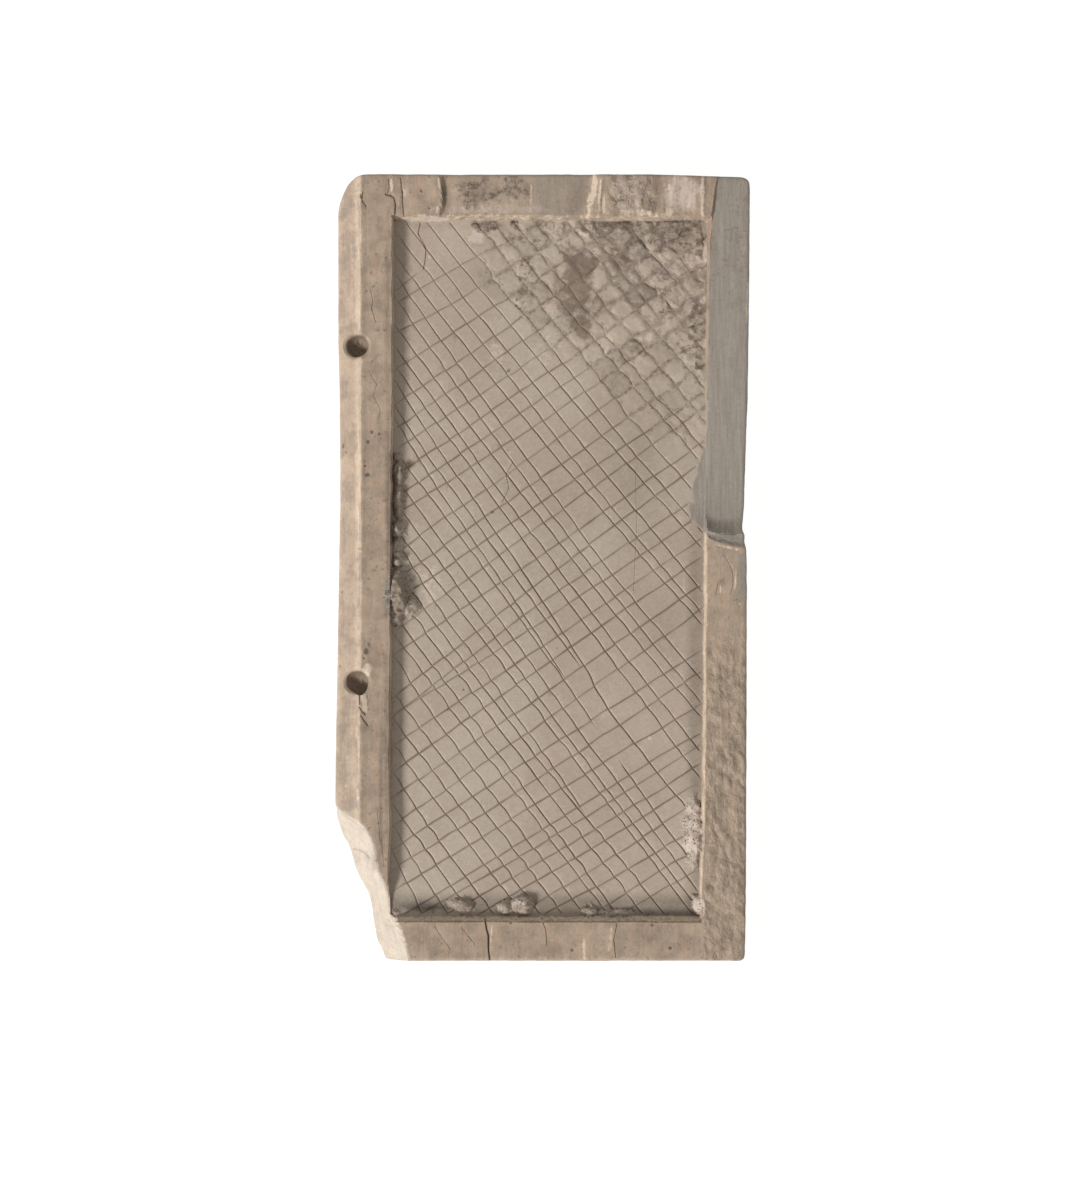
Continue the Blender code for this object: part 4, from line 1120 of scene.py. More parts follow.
def sink_loop(shape, shell, loop, number):
    """Rings of places from a loop of the upper surface down: number 0 to the back, a hole to its dark fill.
    """
    top = shell.places[0][loop]
    edge = top[:, :2]
    middle = edge.mean(0)
    ahead = np.roll(edge, -1, 0) - np.roll(edge, 1, 0)
    outward = np.stack([-ahead[:, 1], ahead[:, 0]], 1) / np.linalg.norm(ahead, axis=1)[:, None]
    if ((outward * (edge - middle)).sum() < 0) == (number == 0):
        outward = -outward
    lowest = 0.0 if number == 0 else shape.leaf.hole_fill / MM
    before = np.array(loop)
    for row in range(1, WALL_ROWS + 1):
        share = row / WALL_ROWS
        level = top[:, 2] * (1 - share) + lowest * share
        fade = math.sin(math.pi * share)
        rough = 0.5 * fade * mottle(top[:, 0] + top[:, 1], level * PX_PER_MM * 2, 9, 5, 71 + number, 3)
        if number == 0:
            rim = edge - outward * (2.0 * rise(0.3, 0.0, level) + 0.5 * fade + rough)[:, None]
        else:
            slant = np.array((2.6, 0.9)) * share
            rim = middle + (edge - middle) * (1 - 0.2 * share ** 2) + slant - outward * rough[:, None]
        marks = {name: values[0][loop] * (1 - share) ** 2 for name, values in shell.marks.items()}
        marks.update(lumped=0.0, framed=1.0, broken=shell.marks["broken"][0][loop])
        # Deeper in a hole its walls take the dark hole colour: painted shade
        if number > 0:
            marks["hole_shade"] = rise(0.0, 0.35, share)
        here = shell.add(np.column_stack([rim, level]), marks)
        a, b, c, d = before, np.roll(before, -1), here, np.roll(here, -1)
        shell.join((a, c, b), (b, c, d))
        before = here
    return before, rim


def fill_hole(shell, loop, rim, shift, level, facing):
    """Closes a hole with a dark fill that stands in for the shade deep in it: one more ring and a place in
    the middle.
    """
    middle = rim.mean(0)
    half = np.column_stack([middle + (rim - middle) * 0.5, np.full(len(rim), level)])
    half[:, 2] += 0.12 * mottle(half[:, 0] * 3, half[:, 1] * 3, 5, 5, 77, 2)
    inner = shell.add(half, {"hole_shade": 1.0})
    centre = np.full(len(rim), shell.add(np.array([[middle[0] + shift, middle[1], level]]), {"hole_shade": 1.0}))
    a, b, c, d = loop, np.roll(loop, -1), inner, np.roll(inner, -1)
    shell.join(*(triangle[::facing] for triangle in ((a, c, b), (b, c, d), (c, centre, d))))


def back_mouth(shape, shell, hole):
    """A lacing hole seen from the back, open as far as its dark fill."""
    deep = shape.leaf.back_fill / MM
    rim = np.array([(x, y, 0.0) for x, y in hole_loop(shape, *hole, 0.0)])
    start = shell.add(rim, {"framed": 1.0})
    inner = shell.add(rim + np.array((0.0, 0.0, deep)), {"hole_shade": 1.0})
    a, b, c, d = start, np.roll(start, -1), inner, np.roll(inner, -1)
    shell.join((a, b, c), (b, d, c))
    fill_hole(shell, inner, rim[:, :2], 0.0, deep + 0.1, -1)
    return start, rim[:, :2]


def add_back(shape, shell, rims, seed):
    """The flat back, between the foot of the outer walls and the mouths of the holes."""
    back = Plan()
    known = []
    for numbers, rim in rims:
        back.line(rim, closed=True)
        known += list(numbers)
    outer, *openings = [rim for _, rim in rims]
    x, y = scattered(np.random.default_rng(seed + 1), *BACK_SPAN_PX, BACK_SPACING_PX, 0.25)
    clear = inside(x, y, outer) & (line_distance(x, y, outer[::3]) > 6)
    for cx, cy in HOLES_PX:
        clear &= np.hypot(x - cx, y - cy) > shape.hole_radius + 8
    back.loose(zip(x[clear], y[clear]))
    flat, faces, sources = back.triangles(1e-4)
    lookup = []
    for place, source in zip(flat, sources):
        old = [known[i] for i in source if i < len(known)]
        lookup.append(old[0] if old else shell.add(np.array([[*place, 0.0]]), {"framed": 1.0})[0])
    shell.faces.append(np.array(lookup)[between(flat, faces, outer, openings)])


def lost_face(shape, x, y):
    """Where the face of the lost flake shows."""
    shown = rise(-0.8, 1.2, shape.in_flake(x, y)) * rise(2.0, -1.0, y - follow(OUTER_LIP_PX, x))
    return shown * (x > FLAKE_LEFT_PX) * (1 - 0.25 * rise(-1.5, 1.5, y - follow(INNER_LIP_PX, x)))


def crack_dirt(x, y):
    """How dirty each place is from the cracks, the deeper ones more so."""
    dirt = np.zeros(len(x))
    for half, depth, points in CRACKS:
        soiled = min(1.0, 0.1 + depth / 0.3) * rise(0.0, 1.0, 1.5 - line_distance(x, y, points) / half)
        dirt = np.maximum(dirt, soiled)
    return dirt


def pale_and_lit_walls(x, y, sunk, flaked):
    """How pale the walls of the floor are, which differs from side to side: partly paler ivory, partly
    painted light on the walls.
    """
    right = rise(690, 700, x) * (0.32 + 0.64 * rise(440, 530, y)) * (1 - flaked * rise(440, 455, y))
    left = 0.8 * rise(402, 396, x)
    top = rise(232, 226, y) * (0.30 + 0.35 * rise(590, 620, x) * rise(700, 680, x))
    bottom = rise(905, 912, y)
    wall = rise(0.0, 0.16, sunk) * rise(1.0, 0.84, sunk)
    return 1.2 * wall * np.maximum.reduce((right, left, top, bottom))


def foot_shade(x, y):
    """How dark the floor is along the foot of its lower, right and upper walls."""
    lower = rise(890, 903, y) * (1 - 0.8 * (1 - rise(560, 640, x)) * rise(907, 914, y))
    right = rise(682, 698, x) * rise(480, 560, y)
    upper = rise(585, 660, x) * rise(266, 228, y)
    return 0.38 * lower + 0.22 * right + 0.24 * upper


def corner_darkening(x, y):
    """How brown the floor is in its corners, darker along the feet of its left, bottom and top walls."""
    stain = rise(14, 0, x - 391) * 0.25 + rise(12, 0, 918 - y) * 0.25 + rise(9, 0, y - 221) * 0.3
    return 0.35 * np.clip(stain, 0, 1)


def hinge_edge(shape, x, y):
    """1 on the ledge of the hinge edge, and less on its cove."""
    across = shape.hinged(x, y)
    ledge = rise(362.4, 360.4, across) * (y < 830)
    cove = rise(353.5, 356.0, across) * rise(362.4, 360.4, across)
    return np.clip(0.62 * ledge + 0.38 * cove, 0.0, 1.0)


def near_hole_mouth(shape, x, y):
    """How close each place is to the mouth of a lacing hole."""
    near = [rise(3.5, 0.0, np.hypot(x - cx, y - cy) - shape.hole_radius) for cx, cy in HOLES_PX]
    return np.maximum(*near)


def leaf_marks(shape, places, broken):
    """What the material reads at each place: where the surface is scored, stained, crusted and so on."""
    x, y = places[:, 0], places[:, 1]
    sunk, eroded, flaked = shape.sunk(x, y), shape.eroded(x, y), lost_face(shape, x, y)
    _, dirt, lit = shape.scored(x, y)
    tone, groove = shape.tiles(x, y)
    lumped = rise(0.02, 0.25, shape.lumps(x, y))
    on_floor, cut_floor = rise(0.95, 1.0, sunk), rise(0.9, 1.0, sunk)
    shown = cut_floor * (1 - flaked) * (0.4 + 0.6 * rise(391, 406, x))
    broken_up = 1 - eroded * (0.40 + 0.5 * rise(-0.15, 0.2, mottle(x, y, 11, 11, 59, 2)))
    torn_fibres = 0.8 * rise(604, 612, x) * rise(662, 650, x) * rise(218, 208, y)
    # The pale mark holds the fresh chips and, on the walls and some edges, painted light and painted
    # highlights
    pale = np.maximum(spots(x, y, FRESH_BREAKS_AND_HIGHLIGHTS, 81, 0.5), 0.6 * pale_and_lit_walls(x, y, sunk, flaked))
    shade = spots(x, y, SHADES, 84, 0.12, 1.1) + on_floor * foot_shade(x, y)
    stain = spots(x, y, STAINS, 83, 0.5, 0.75) + corner_darkening(x, y) * rise(0.3, 1.0, sunk)
    return {
        "scored": dirt * shown * broken_up * (1 - lumped),
        "lit_edge": lit * shown * (1 - 0.7 * eroded) * (1 - lumped),
        "eroded": eroded,
        "tile": tone * cut_floor * (0.22 + 0.78 * eroded) * (1 - flaked),
        "groove": groove * cut_floor * (1 - flaked) * (1 - lumped),
        "shade": np.clip(shade, 0, 1) * (1 - lumped * on_floor),
        "cracked": crack_dirt(x, y),
        "framed": 1.0 - rise(0.75, 1.0, sunk),
        "ledge": hinge_edge(shape, x, y),
        "flaked": np.maximum(flaked, top_scar(x, y)),
        "broken": broken,
        "fresh_and_lit": np.clip(pale, 0.0, 1.0),
        "crust": np.maximum(floor_crust(x, y) * rise(0.3, 0.9, sunk), frame_crust(x, y)),
        "bloom": spots(x, y, BLOOMS, 82, 0.5),
        "stain": np.clip(stain, 0, 1),
        "speck": spots(x, y, SPECKS, 85, 0.3, 0.8),
        "lumped": lumped,
        "bark": np.maximum(wrinkled(x, y), torn_fibres) * (1 - rise(0.0, 0.2, sunk)),
        "hole_shade": near_hole_mouth(shape, x, y),
    }


def top_scar(x, y):
    """The greyer faces of the scar that crosses the top frame and of a chip on the right one."""
    chip = 0.62 * rise(733, 740, x) * rise(549, 555, y) * rise(606, 600, y)
    greyer = 0.38 * rise(441, 450, x) + 0.12 * rise(526, 540, x)
    return chip + rise(226, 216, y) * rise(589, 586, slanted(x, y)) * greyer


class Wire:
    """A value in a tree of nodes: Python's operators on it add Math nodes."""

    def __init__(self, nodes, socket):
        self.nodes = nodes
        self.socket = socket

    def _math(self, operation, first, second):
        return self.nodes.node("ShaderNodeMath", {"operation": operation}, {0: first, 1: second})

    def __add__(self, other):
        return self._math("ADD", self, other)

    __radd__ = __add__

    def __sub__(self, other):
        return self._math("SUBTRACT", self, other)

    def __rsub__(self, other):
        return self._math("SUBTRACT", other, self)

    def __mul__(self, other):
        return self._math("MULTIPLY", self, other)

    __rmul__ = __mul__


class Nodes:
    """Adds nodes to a tree."""

    def __init__(self, tree):
        self.tree = tree

    def node(self, kind, settings=None, sockets=None, output=0):
        """Adds a node: its settings first, then the values or links of its sockets."""
        made = self.tree.nodes.new(kind)
        for name, value in (settings or {}).items():
            setattr(made, name, value)
        for key, value in (sockets or {}).items():
            self.give(made.inputs[key], value)
        return Wire(self, made.outputs[output])

    def give(self, socket, value):
        """Links a wire to a socket, or sets the socket's own value. A colour is given as three numbers."""
        if isinstance(value, Wire):
            self.tree.links.new(value.socket, socket)
        else:
            socket.default_value = (*value[:3], 1.0) if socket.type == "RGBA" else value


class Paint(Nodes):
    """A material and the tree that its finish is built in."""

    def __init__(self, name):
        self.material = bpy.data.materials.new(name)
        self.material.use_nodes = True
        super().__init__(self.material.node_tree)

    def finish(self, values):
        """Gives the surface its values and returns the material."""
        surface = self.tree.nodes["Principled BSDF"]
        for name, value in values.items():
            self.give(surface.inputs[name], value)
        return self.material

    def mark(self, name):
        """One of the mesh's marks, from 0 to 1 or -1 to 1."""
        return self.node("ShaderNodeAttribute", {"attribute_name": name}, output="Fac")

    def vector(self, operation, *values):
        return self.node("ShaderNodeVectorMath", {"operation": operation}, dict(enumerate(values)))

    def places_mm(self, stretch=(1.0, 1.0, 1.0)):
        """Object coordinates in millimetres, squeezed or stretched along an axis."""
        here = self.node("ShaderNodeTexCoord", output="Object")
        return self.vector("MULTIPLY", here, tuple(s / MM for s in stretch))

    def scaled(self, colour, factor):
        return self.node("ShaderNodeVectorMath", {"operation": "SCALE"}, {0: colour, "Scale": factor})

    def noise(self, places, scale, detail, roughness):
        return self.node("ShaderNodeTexNoise", sockets={"Vector": places, "Scale": scale, "Detail": detail,
                                                        "Roughness": roughness})

    def cloudy(self, places, scale):
        """Noise with three parts, to bend other noise with."""
        return self.node("ShaderNodeTexNoise", sockets={"Vector": places, "Scale": scale}, output="Color")

    def bumps(self, height, strength, depth_mm):
        return self.node("ShaderNodeBump", None,
                         {"Strength": strength, "Distance": depth_mm * MM, "Height": height})

    def step(self, value, low, high):
        """0 below low, 1 above high, smooth between."""
        return self.node("ShaderNodeMapRange", {"interpolation_type": "SMOOTHSTEP"},
                         {"Value": value, "From Min": low, "From Max": high})

    def blend(self, factor, first, second):
        """A mix of two colours: the first at 0, the second at 1."""
        return self.node("ShaderNodeMix", {"data_type": "RGBA", "clamp_factor": True},
                         {0: factor, 6: first, 7: second}, output=2)

    def overlaid(self, colour, *layers):
        """A colour with others laid over it in turn, each by its own factor."""
        for factor, over in layers:
            colour = self.blend(factor, colour, over)
        return colour


def seen(red, green, blue):
    """A colour as a screen shows it, from 0 to 255, as the linear colour that a shader takes."""
    def linear(value):
        value /= 255.0
        return value / 12.92 if value <= 0.04045 else ((value + 0.055) / 1.055) ** 2.4
    return linear(red), linear(green), linear(blue)


def ivory_material(colours):
    """Aged ivory: layers of colour laid over each other by the marks in the mesh and fine noise."""
    paint = Paint("aged_ivory")
    mark, step, blend = paint.mark, paint.step, paint.blend
    mm = paint.places_mm()
    grain = paint.noise(mm, 2.6, 6.0, 0.7)
    fine = paint.noise(mm, 9.0, 4.0, 0.6)
    cloud = paint.noise(mm, 0.11, 4.0, 0.55)
    patch = paint.noise(mm, 0.45, 5.0, 0.6)
    blot = paint.noise(mm, 0.7, 4.0, 0.55)
    clot = paint.noise(mm, 1.15, 6.0, 0.72)
    flecks = paint.noise(mm, 1.9, 2.0, 0.5)
    striae = paint.noise(paint.places_mm((3.2, 0.22, 1.0)), 0.9, 5.0, 0.65)
    threads = paint.noise(paint.places_mm((1.0, 0.09, 1.0)), 1.5, 6.0, 0.72)
    strands = paint.noise(paint.places_mm((1.0, 0.13, 1.0)), 2.4, 3.0, 0.6)
    fibres = paint.noise(paint.places_mm((1.0, 0.36, 1.0)), 1.3, 6.0, 0.72)
    bent = paint.vector("ADD", paint.places_mm((1.0, 0.42, 1.0)), paint.scaled(paint.cloudy(mm, 0.9), 1.1))
    wrinkles = paint.noise(bent, 2.0, 3.0, 0.5)
    grain_swing, fine_swing, patch_swing = grain - 0.5, fine - 0.5, patch - 0.5
    blot_swing, clot_swing, thread_swing = blot - 0.5, clot - 0.5, threads - 0.5

    def frayed(name, amount, low, high):
        return step(mark(name) + grain_swing * amount, low, high)

    floor = blend(step(cloud + mark("tile") * 0.1, 0.4, 0.6), colours.floor, colours.floor_shade)
    floor = blend(step(patch, 0.52, 0.72) * 0.5, floor, colours.floor_warm)
    bark = blend(step(fibres * 0.5 + wrinkles * 0.5, 0.42, 0.60), colours.bark, colours.bark_shade)
    frame_colour = paint.overlaid(
        colours.frame,
        (step(patch + thread_swing * 1.2 + clot_swing * 0.3, 0.40, 0.62), colours.frame_shade),
        (step(blot + thread_swing * 1.4, 0.50, 0.66) * 0.3, colours.rust),
        (step(flecks + clot_swing * 0.4, 0.66, 0.72) * 0.6, colours.stain),
        (mark("bark"), bark))
    ledge = paint.overlaid(
        colours.ledge,
        (step(patch + thread_swing * 1.2, 0.46, 0.58) * 0.9, colours.ledge_shade),
        (step(blot + thread_swing * 1.2, 0.50, 0.64) * 0.28, colours.rust))
    flake = blend(step(striae, 0.38, 0.62), colours.flake, colours.flake_shade)
    break_layers = blend(step(threads, 0.36, 0.66), colours.broken, colours.broken_shade)
    bloomed = frayed("bloom", 1.1, 0.35, 0.85)
    lump_grains = step(clot * 0.5 + grain * 0.5 - mark("crust") * 0.10, 0.42, 0.58)
    lump = blend(lump_grains, colours.lump_shade, colours.lump)
    lump = blend(bloomed * 0.9, lump, colours.bloom)
    crust = blend(step(clot * 0.5 + grain * 0.5, 0.44, 0.60), colours.crust_pale, colours.crust)

    # Pale: fresh chips, painted light on the walls and painted highlights along some edges
    pale = step(mark("fresh_and_lit") + (strands - 0.5) * 1.5 + grain_swing * 0.5, 0.3, 0.8)
    stained = step(mark("stain") + clot_swing * 1.2 + grain_swing * 0.9, 0.12, 0.9)
    clotted = step(mark("crust") + clot_swing * 2.8 + grain_swing * 1.8, 0.2, 1.0)
    clotted = clotted * step(mark("crust"), 0.02, 0.3)
    ragged = clot_swing * 3.2 + grain_swing * 3.6
    cell = mark("eroded") * 0.35 - mark("tile") * 0.45 + mark("groove") * 0.2 + blot_swing * 2.0
    grimy = step(ragged * 0.8 + cell, 0.2, 1.0)
    eaten = step(mark("groove") + ragged * 0.5, 0.35, 0.8)
    chips = step((flecks - 0.5) * 3.0 + grain_swing * 3.0 + mark("groove") * 0.4, 0.75, 1.1)
    lit = step(mark("lit_edge") + grain_swing * 1.4, 0.4, 0.95)
    uneven = fine_swing * 0.5 + patch_swing * 0.5 + grain_swing * 0.4
    dirty = step(mark("scored") + uneven + mark("eroded") * (ragged * 0.3 + 0.2), 0.25, 1.0)
    colour = paint.overlaid(
        floor,
        (mark("framed"), frame_colour),
        (mark("ledge"), ledge),
        (frayed("flaked", 0.3, 0.3, 0.7), flake),
        (pale, colours.fresh_and_lit),
        (frayed("broken", 0.3, 0.2, 0.6), break_layers),
        (bloomed * 0.8, colours.bloom),
        (stained * 0.86, colours.stain),
        (mark("lumped"), lump),
        (clotted * (0.8 - mark("lumped") * 0.45), crust),
        (grimy * mark("eroded") * 0.55, colours.groove),
        (eaten * 0.46, colours.groove),
        (chips * mark("eroded") * 0.6, colours.bloom),
        (lit * 0.27, colours.lit_edge),
        (dirty * 0.85, colours.dirt),
        (frayed("cracked", 0.8, 0.2, 0.9) * 0.6, colours.dirt),
        (frayed("speck", 1.2, 0.25, 0.75) * 0.75, colours.crust),
        (mark("hole_shade"), colours.hole_shade_colour))

    streaked = thread_swing * 0.9 + blot_swing * 0.4 + clot_swing * 0.4
    streaked = streaked * (1 - mark("flaked") * 0.6)
    speckled = (grain_swing * 0.45 + fine_swing * 0.45 + mark("framed") * streaked + mark("tile") * 0.15
                - mark("shade") + mark("stain") * clot_swing * 0.7 + mark("eroded") * clot_swing * 0.35)
    relief = (grain * 0.6 + fine * 0.2 + striae * mark("flaked") * 0.5 + fibres * mark("bark") * 1.5
              + wrinkles * mark("bark") * 7.0 + threads * mark("framed") * 1.8
              + (clot + grain) * mark("crust") * 1.8 + grain * mark("lumped") * 1.2)
    return paint.finish({
        "Base Color": paint.scaled(colour, 1.0 + speckled),
        "Roughness": 0.62 + grain_swing * 0.3 + mark("crust") * 0.2,
        "Specular IOR Level": 0.3,
        "Normal": paint.bumps(relief, 0.55, 0.06),
    })


def crumb_material(colours):
    """Hardened dirt in grains: dark brown to grey, some of them whitish."""
    paint = Paint("hardened_dirt")
    mm = paint.places_mm()
    grain = paint.noise(mm, 5.0, 5.0, 0.7)
    patch = paint.noise(mm, 0.6, 4.0, 0.6)
    colour = paint.overlaid(
        colours.crust,
        (paint.step(grain, 0.35, 0.62), colours.crust_pale),
        (paint.step(patch, 0.55, 0.66) * 0.6, colours.bloom))
    return paint.finish({
        "Base Color": colour,
        "Roughness": 0.85,
        "Specular IOR Level": 0.2,
        "Normal": paint.bumps(grain, 0.5, 0.04),
    })


def table_material(glow):
    """A matt pale table that gives off light, so that it shows as plain white."""
    return Paint("pale_table").finish({
        "Base Color": (0.12, 0.12, 0.12),
        "Roughness": 0.9,
        "Emission Color": (1.0, 1.0, 1.0),
        "Emission Strength": glow,
    })


def added(name, data):
    """A new object in the scene."""
    made = bpy.data.objects.new(name, data)
    bpy.context.scene.collection.objects.link(made)
    return made


def mesh_piece(name, places, faces, marks):
    """A piece from places in the photograph's frame, with its marks as attributes."""
    real = np.stack([(places[:, 0] - CENTRE_PX[0]) * PX * MM, (CENTRE_PX[1] - places[:, 1]) * PX * MM,
                     places[:, 2] * MM], 1)
    mesh = bpy.data.meshes.new(name)
    mesh.from_pydata(real.tolist(), [], faces.tolist())
    for mark, values in marks.items():
        attribute = mesh.attributes.new(mark, "FLOAT", "POINT")
        attribute.data.foreach_set("value", values.astype(np.float32))
    mesh.shade_smooth()
    mesh.set_sharp_from_angle(angle=SHARP_ANGLE)
    mesh.validate()
    return added(name, mesh)


def crumb_tree(material):
    """Grains strewn over the crusted places of a piece, and nothing of the piece itself."""
    tree = bpy.data.node_groups.new("strewn_grains", "GeometryNodeTree")
    inputs = (("Geometry", "Geometry"), ("Grain Size", "Float"), ("Density", "Float"), ("Seed", "Int"))
    for name, kind in inputs:
        tree.interface.new_socket(name=name, in_out="INPUT", socket_type="NodeSocket" + kind)
    tree.interface.new_socket(name="Geometry", in_out="OUTPUT", socket_type="NodeSocketGeometry")
    nodes = Nodes(tree)
    given = {socket.name: Wire(nodes, socket) for socket in tree.nodes.new("NodeGroupInput").outputs}

    def chance(low, high):
        return nodes.node("FunctionNodeRandomValue", {"data_type": "FLOAT_VECTOR"},
                          {0: low, 1: high, "Seed": given["Seed"]})

    lumped = nodes.node("GeometryNodeInputNamedAttribute", {"data_type": "FLOAT"}, {"Name": "lumped"})
    strewn = nodes.node("GeometryNodeDistributePointsOnFaces", None, {
        "Mesh": given["Geometry"], "Density": lumped * given["Density"], "Seed": given["Seed"]})
    grain = nodes.node("GeometryNodeMeshIcoSphere", None, {"Subdivisions": 2, "Radius": given["Grain Size"]})
    placed = nodes.node("GeometryNodeInstanceOnPoints", None, {
        "Points": strewn, "Instance": grain, "Scale": chance(*GRAIN_SCALES),
        "Rotation": chance(*GRAIN_TURNS)})
    real = nodes.node("GeometryNodeRealizeInstances", None, {"Geometry": placed})
    finished = nodes.node("GeometryNodeSetMaterial", None, {"Geometry": real, "Material": material})
    nodes.give(tree.nodes.new("NodeGroupOutput").inputs["Geometry"], finished)
    return tree


def plain(name, description, value):
    """A number without a unit that a user may change."""
    return bpy.props.FloatProperty(name=name, description=description, default=value)


def length(name, description, metres):
    """A length that a user may change."""
    return bpy.props.FloatProperty(name=name, description=description, default=metres, unit="LENGTH")


def angle(name, description, degrees):
    """An angle that a user may change."""
    return bpy.props.FloatProperty(name=name, description=description, default=math.radians(degrees),
                                   subtype="ANGLE")


def colour(name, description, red, green, blue):
    """A colour that a user may change, given as a screen shows it."""
    return bpy.props.FloatVectorProperty(name=name, description=description, subtype="COLOR", size=3,
                                         min=0.0, max=1.0, default=seen(red, green, blue))


class IvoryLeafSizes(bpy.types.PropertyGroup):
    floor_depth: length("Floor depth", "How far the scored floor is sunk below the frame", 0.0016)
    hole_diameter: length("Lacing hole", "Diameter of the two lacing holes", 0.0021)
    edge_rounding: length("Edge rounding", "Radius of the worn outer edges", 0.0003)
    bevel_rise: length("Ledge fall", "How far the hinge ledge falls to the outer edge", 0.00035)
    cove_rise: length("Cove climb", "How far the cove climbs from the ledge to the frame", 0.0005)
    flake_length: length("Flake length", "Length of the lost flake along the right frame", 0.038)
    flake_depth: length("Flake depth", "Depth of the lost flake at its lower end", 0.0019)
    # The fill is a dark plug that stands in for the shade deep in the holes
    hole_fill: length("Fill in the holes", "Height of the dirt packed in the holes, seen from the face",
                      0.0043)
    back_fill: length("Fill from the back", "How deep the holes are open from the back", 0.0014)
    fine_spacing: length("Fine spacing", "Spacing of the surface's places on the frame and the crust",
                         0.00026)
    floor_spacing: length("Floor spacing", "Spacing of the surface's places on the plain floor", 0.00046)
    seed: bpy.props.IntProperty(name="Seed", description="Seed of the loose places", default=7)


class ScoringSizes(bpy.types.PropertyGroup):
    stroke_width: length("Stroke width", "Width of a scored stroke at the surface", 0.00026)
    stroke_depth: length("Stroke depth", "Depth of the deepest strokes", 0.00010)
    reach: length("Stroke reach", "How far a stroke runs on where a wall is near", 0.0065)


class CrumbSizes(bpy.types.PropertyGroup):
    grain_size: length("Grain size", "Radius of an average grain of dirt", 0.00009)
    density: plain("Grains to a square millimetre", "How thickly the crusted places are strewn", 4.0)
    seed: bpy.props.IntProperty(name="Seed", description="Seed of the strewing", default=5)


class IvoryColours(bpy.types.PropertyGroup):
    floor: colour("Floor", "The scored floor", 178, 164, 147)
    floor_shade: colour("Floor, shaded", "The floor where it is browner", 171, 155, 139)
    floor_warm: colour("Floor, warm", "Warm patches of the floor", 181, 161, 144)
    frame: colour("Frame", "The raised frame", 174, 154, 134)
    frame_shade: colour("Frame, shaded", "Browner patches of the frame", 156, 137, 119)
    rust: colour("Rust tint", "Orange-brown tints on the frame", 178, 149, 124)
    bark: colour("Wrinkled frame", "The wrinkled lower right frame", 169, 149, 129)
    bark_shade: colour("Wrinkled frame, shaded", "Its greyer wrinkles", 146, 130, 112)
    ledge: colour("Ledge", "The polished hinge ledge and cove", 202, 180, 157)
    ledge_shade: colour("Ledge, shaded", "Greyer patches of the ledge", 172, 154, 138)
    flake: colour("Flaked", "The grey face of the lost flake", 154, 144, 133)
    flake_shade: colour("Flaked, shaded", "Its darker streaks", 143, 134, 122)
    # Also the colour of the painted light on the walls and of the painted highlights along some edges
    fresh_and_lit: colour("Fresh edges", "Pale edges where ivory chipped lately", 210, 191, 168)
    # Painted highlight on the side of each steep stroke that faces the key light
    lit_edge: colour("Stroke edges", "Clean upper edges of the strokes", 200, 184, 167)
    broken: colour("Broken corner", "The cream face of the break", 206, 193, 177)
    broken_shade: colour("Broken corner, shaded", "Its darker layers", 185, 170, 153)
    bloom: colour("Bloom", "Whitish patches", 200, 184, 170)
    crust: colour("Crust", "Dark hardened dirt", 78, 67, 58)
    crust_pale: colour("Crust, pale", "Grey hardened dirt", 150, 135, 120)
    lump: colour("Lumps", "Grey-brown lumps of hardened dirt", 184, 171, 157)
    lump_shade: colour("Lumps, shaded", "Darker grains of the lumps", 150, 135, 120)
    groove: colour("Eaten grooves", "Dirty grooves in the eaten part of the floor", 118, 103, 91)
    stain: colour("Stain", "Brown stains", 122, 104, 90)
    dirt: colour("Stroke dirt", "Dirt in the strokes and cracks", 110, 91, 75)
    # Painted shade deep in the lacing holes and on the fill in them; also laid round their mouths
    hole_shade_colour: colour("Hole dirt", "Dirt in the lacing holes", 132, 115, 99)


class StageSizes(bpy.types.PropertyGroup):
    camera_height: length("Camera height", "Height of the camera over the table", 0.9)
    floor_width: length("Table width", "Width of the pale table", 4.0)
    light_angle: angle("Light softness", "Width of the key light as the leaf sees it", 13.0)
    light_height: angle("Light height", "Height of the key light over the horizon", 36.0)
    light_from: angle("Light from", "Where the key light stands, round from the right of the leaf", 218.7)
    key_strength: plain("Key", "Strength of the key light", 3.0)
    fill_strength: plain("Fill", "Strength of the light all round", 0.44)
    table_glow: plain("Table glow", "Light that the table gives off", 0.95)


class TABLET_OT_ivory_leaf(bpy.types.Operator):
    """Builds the ivory leaf with its strokes, break, holes and stains"""

    bl_idname = "tablet.ivory_leaf"
    bl_label = "Ivory Leaf"

    def execute(self, context):
        scene = context.scene
        sizes = scene.tablet_leaf
        shape = Leaf(sizes, scene.tablet_scoring)
        piece = mesh_piece("ivory_leaf", *leaf_surface(shape, sizes.seed))
        piece.data.materials.append(ivory_material(scene.tablet_colours))
        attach(piece, "root")
        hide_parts("writing_tablet")
        return {"FINISHED"}


class TABLET_OT_dirt_grains(bpy.types.Operator):
    """Strews grains of hardened dirt over the lumps along the walls"""

    bl_idname = "tablet.dirt_grains"
    bl_label = "Dirt Grains"

    def execute(self, context):
        scene = context.scene
        sizes = scene.tablet_crumbs
        leaf = bpy.data.objects["ivory_leaf"]
        carrier = added("grain_carrier", leaf.data.copy())
        strewn = carrier.modifiers.new("strewn_grains", "NODES")
        strewn.node_group = crumb_tree(crumb_material(scene.tablet_colours))
        wanted = {"Grain Size": sizes.grain_size, "Density": sizes.density / MM ** 2, "Seed": sizes.seed}
        for item in strewn.node_group.interface.items_tree:
            if item.in_out == "INPUT" and item.name in wanted:
                strewn[item.identifier] = wanted[item.name]
        graph = context.evaluated_depsgraph_get()
        mesh = bpy.data.meshes.new_from_object(carrier.evaluated_get(graph))
        bpy.data.objects.remove(carrier, do_unlink=True)
        piece = added("dirt_grains", mesh)
        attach(piece, "root")
        return {"FINISHED"}


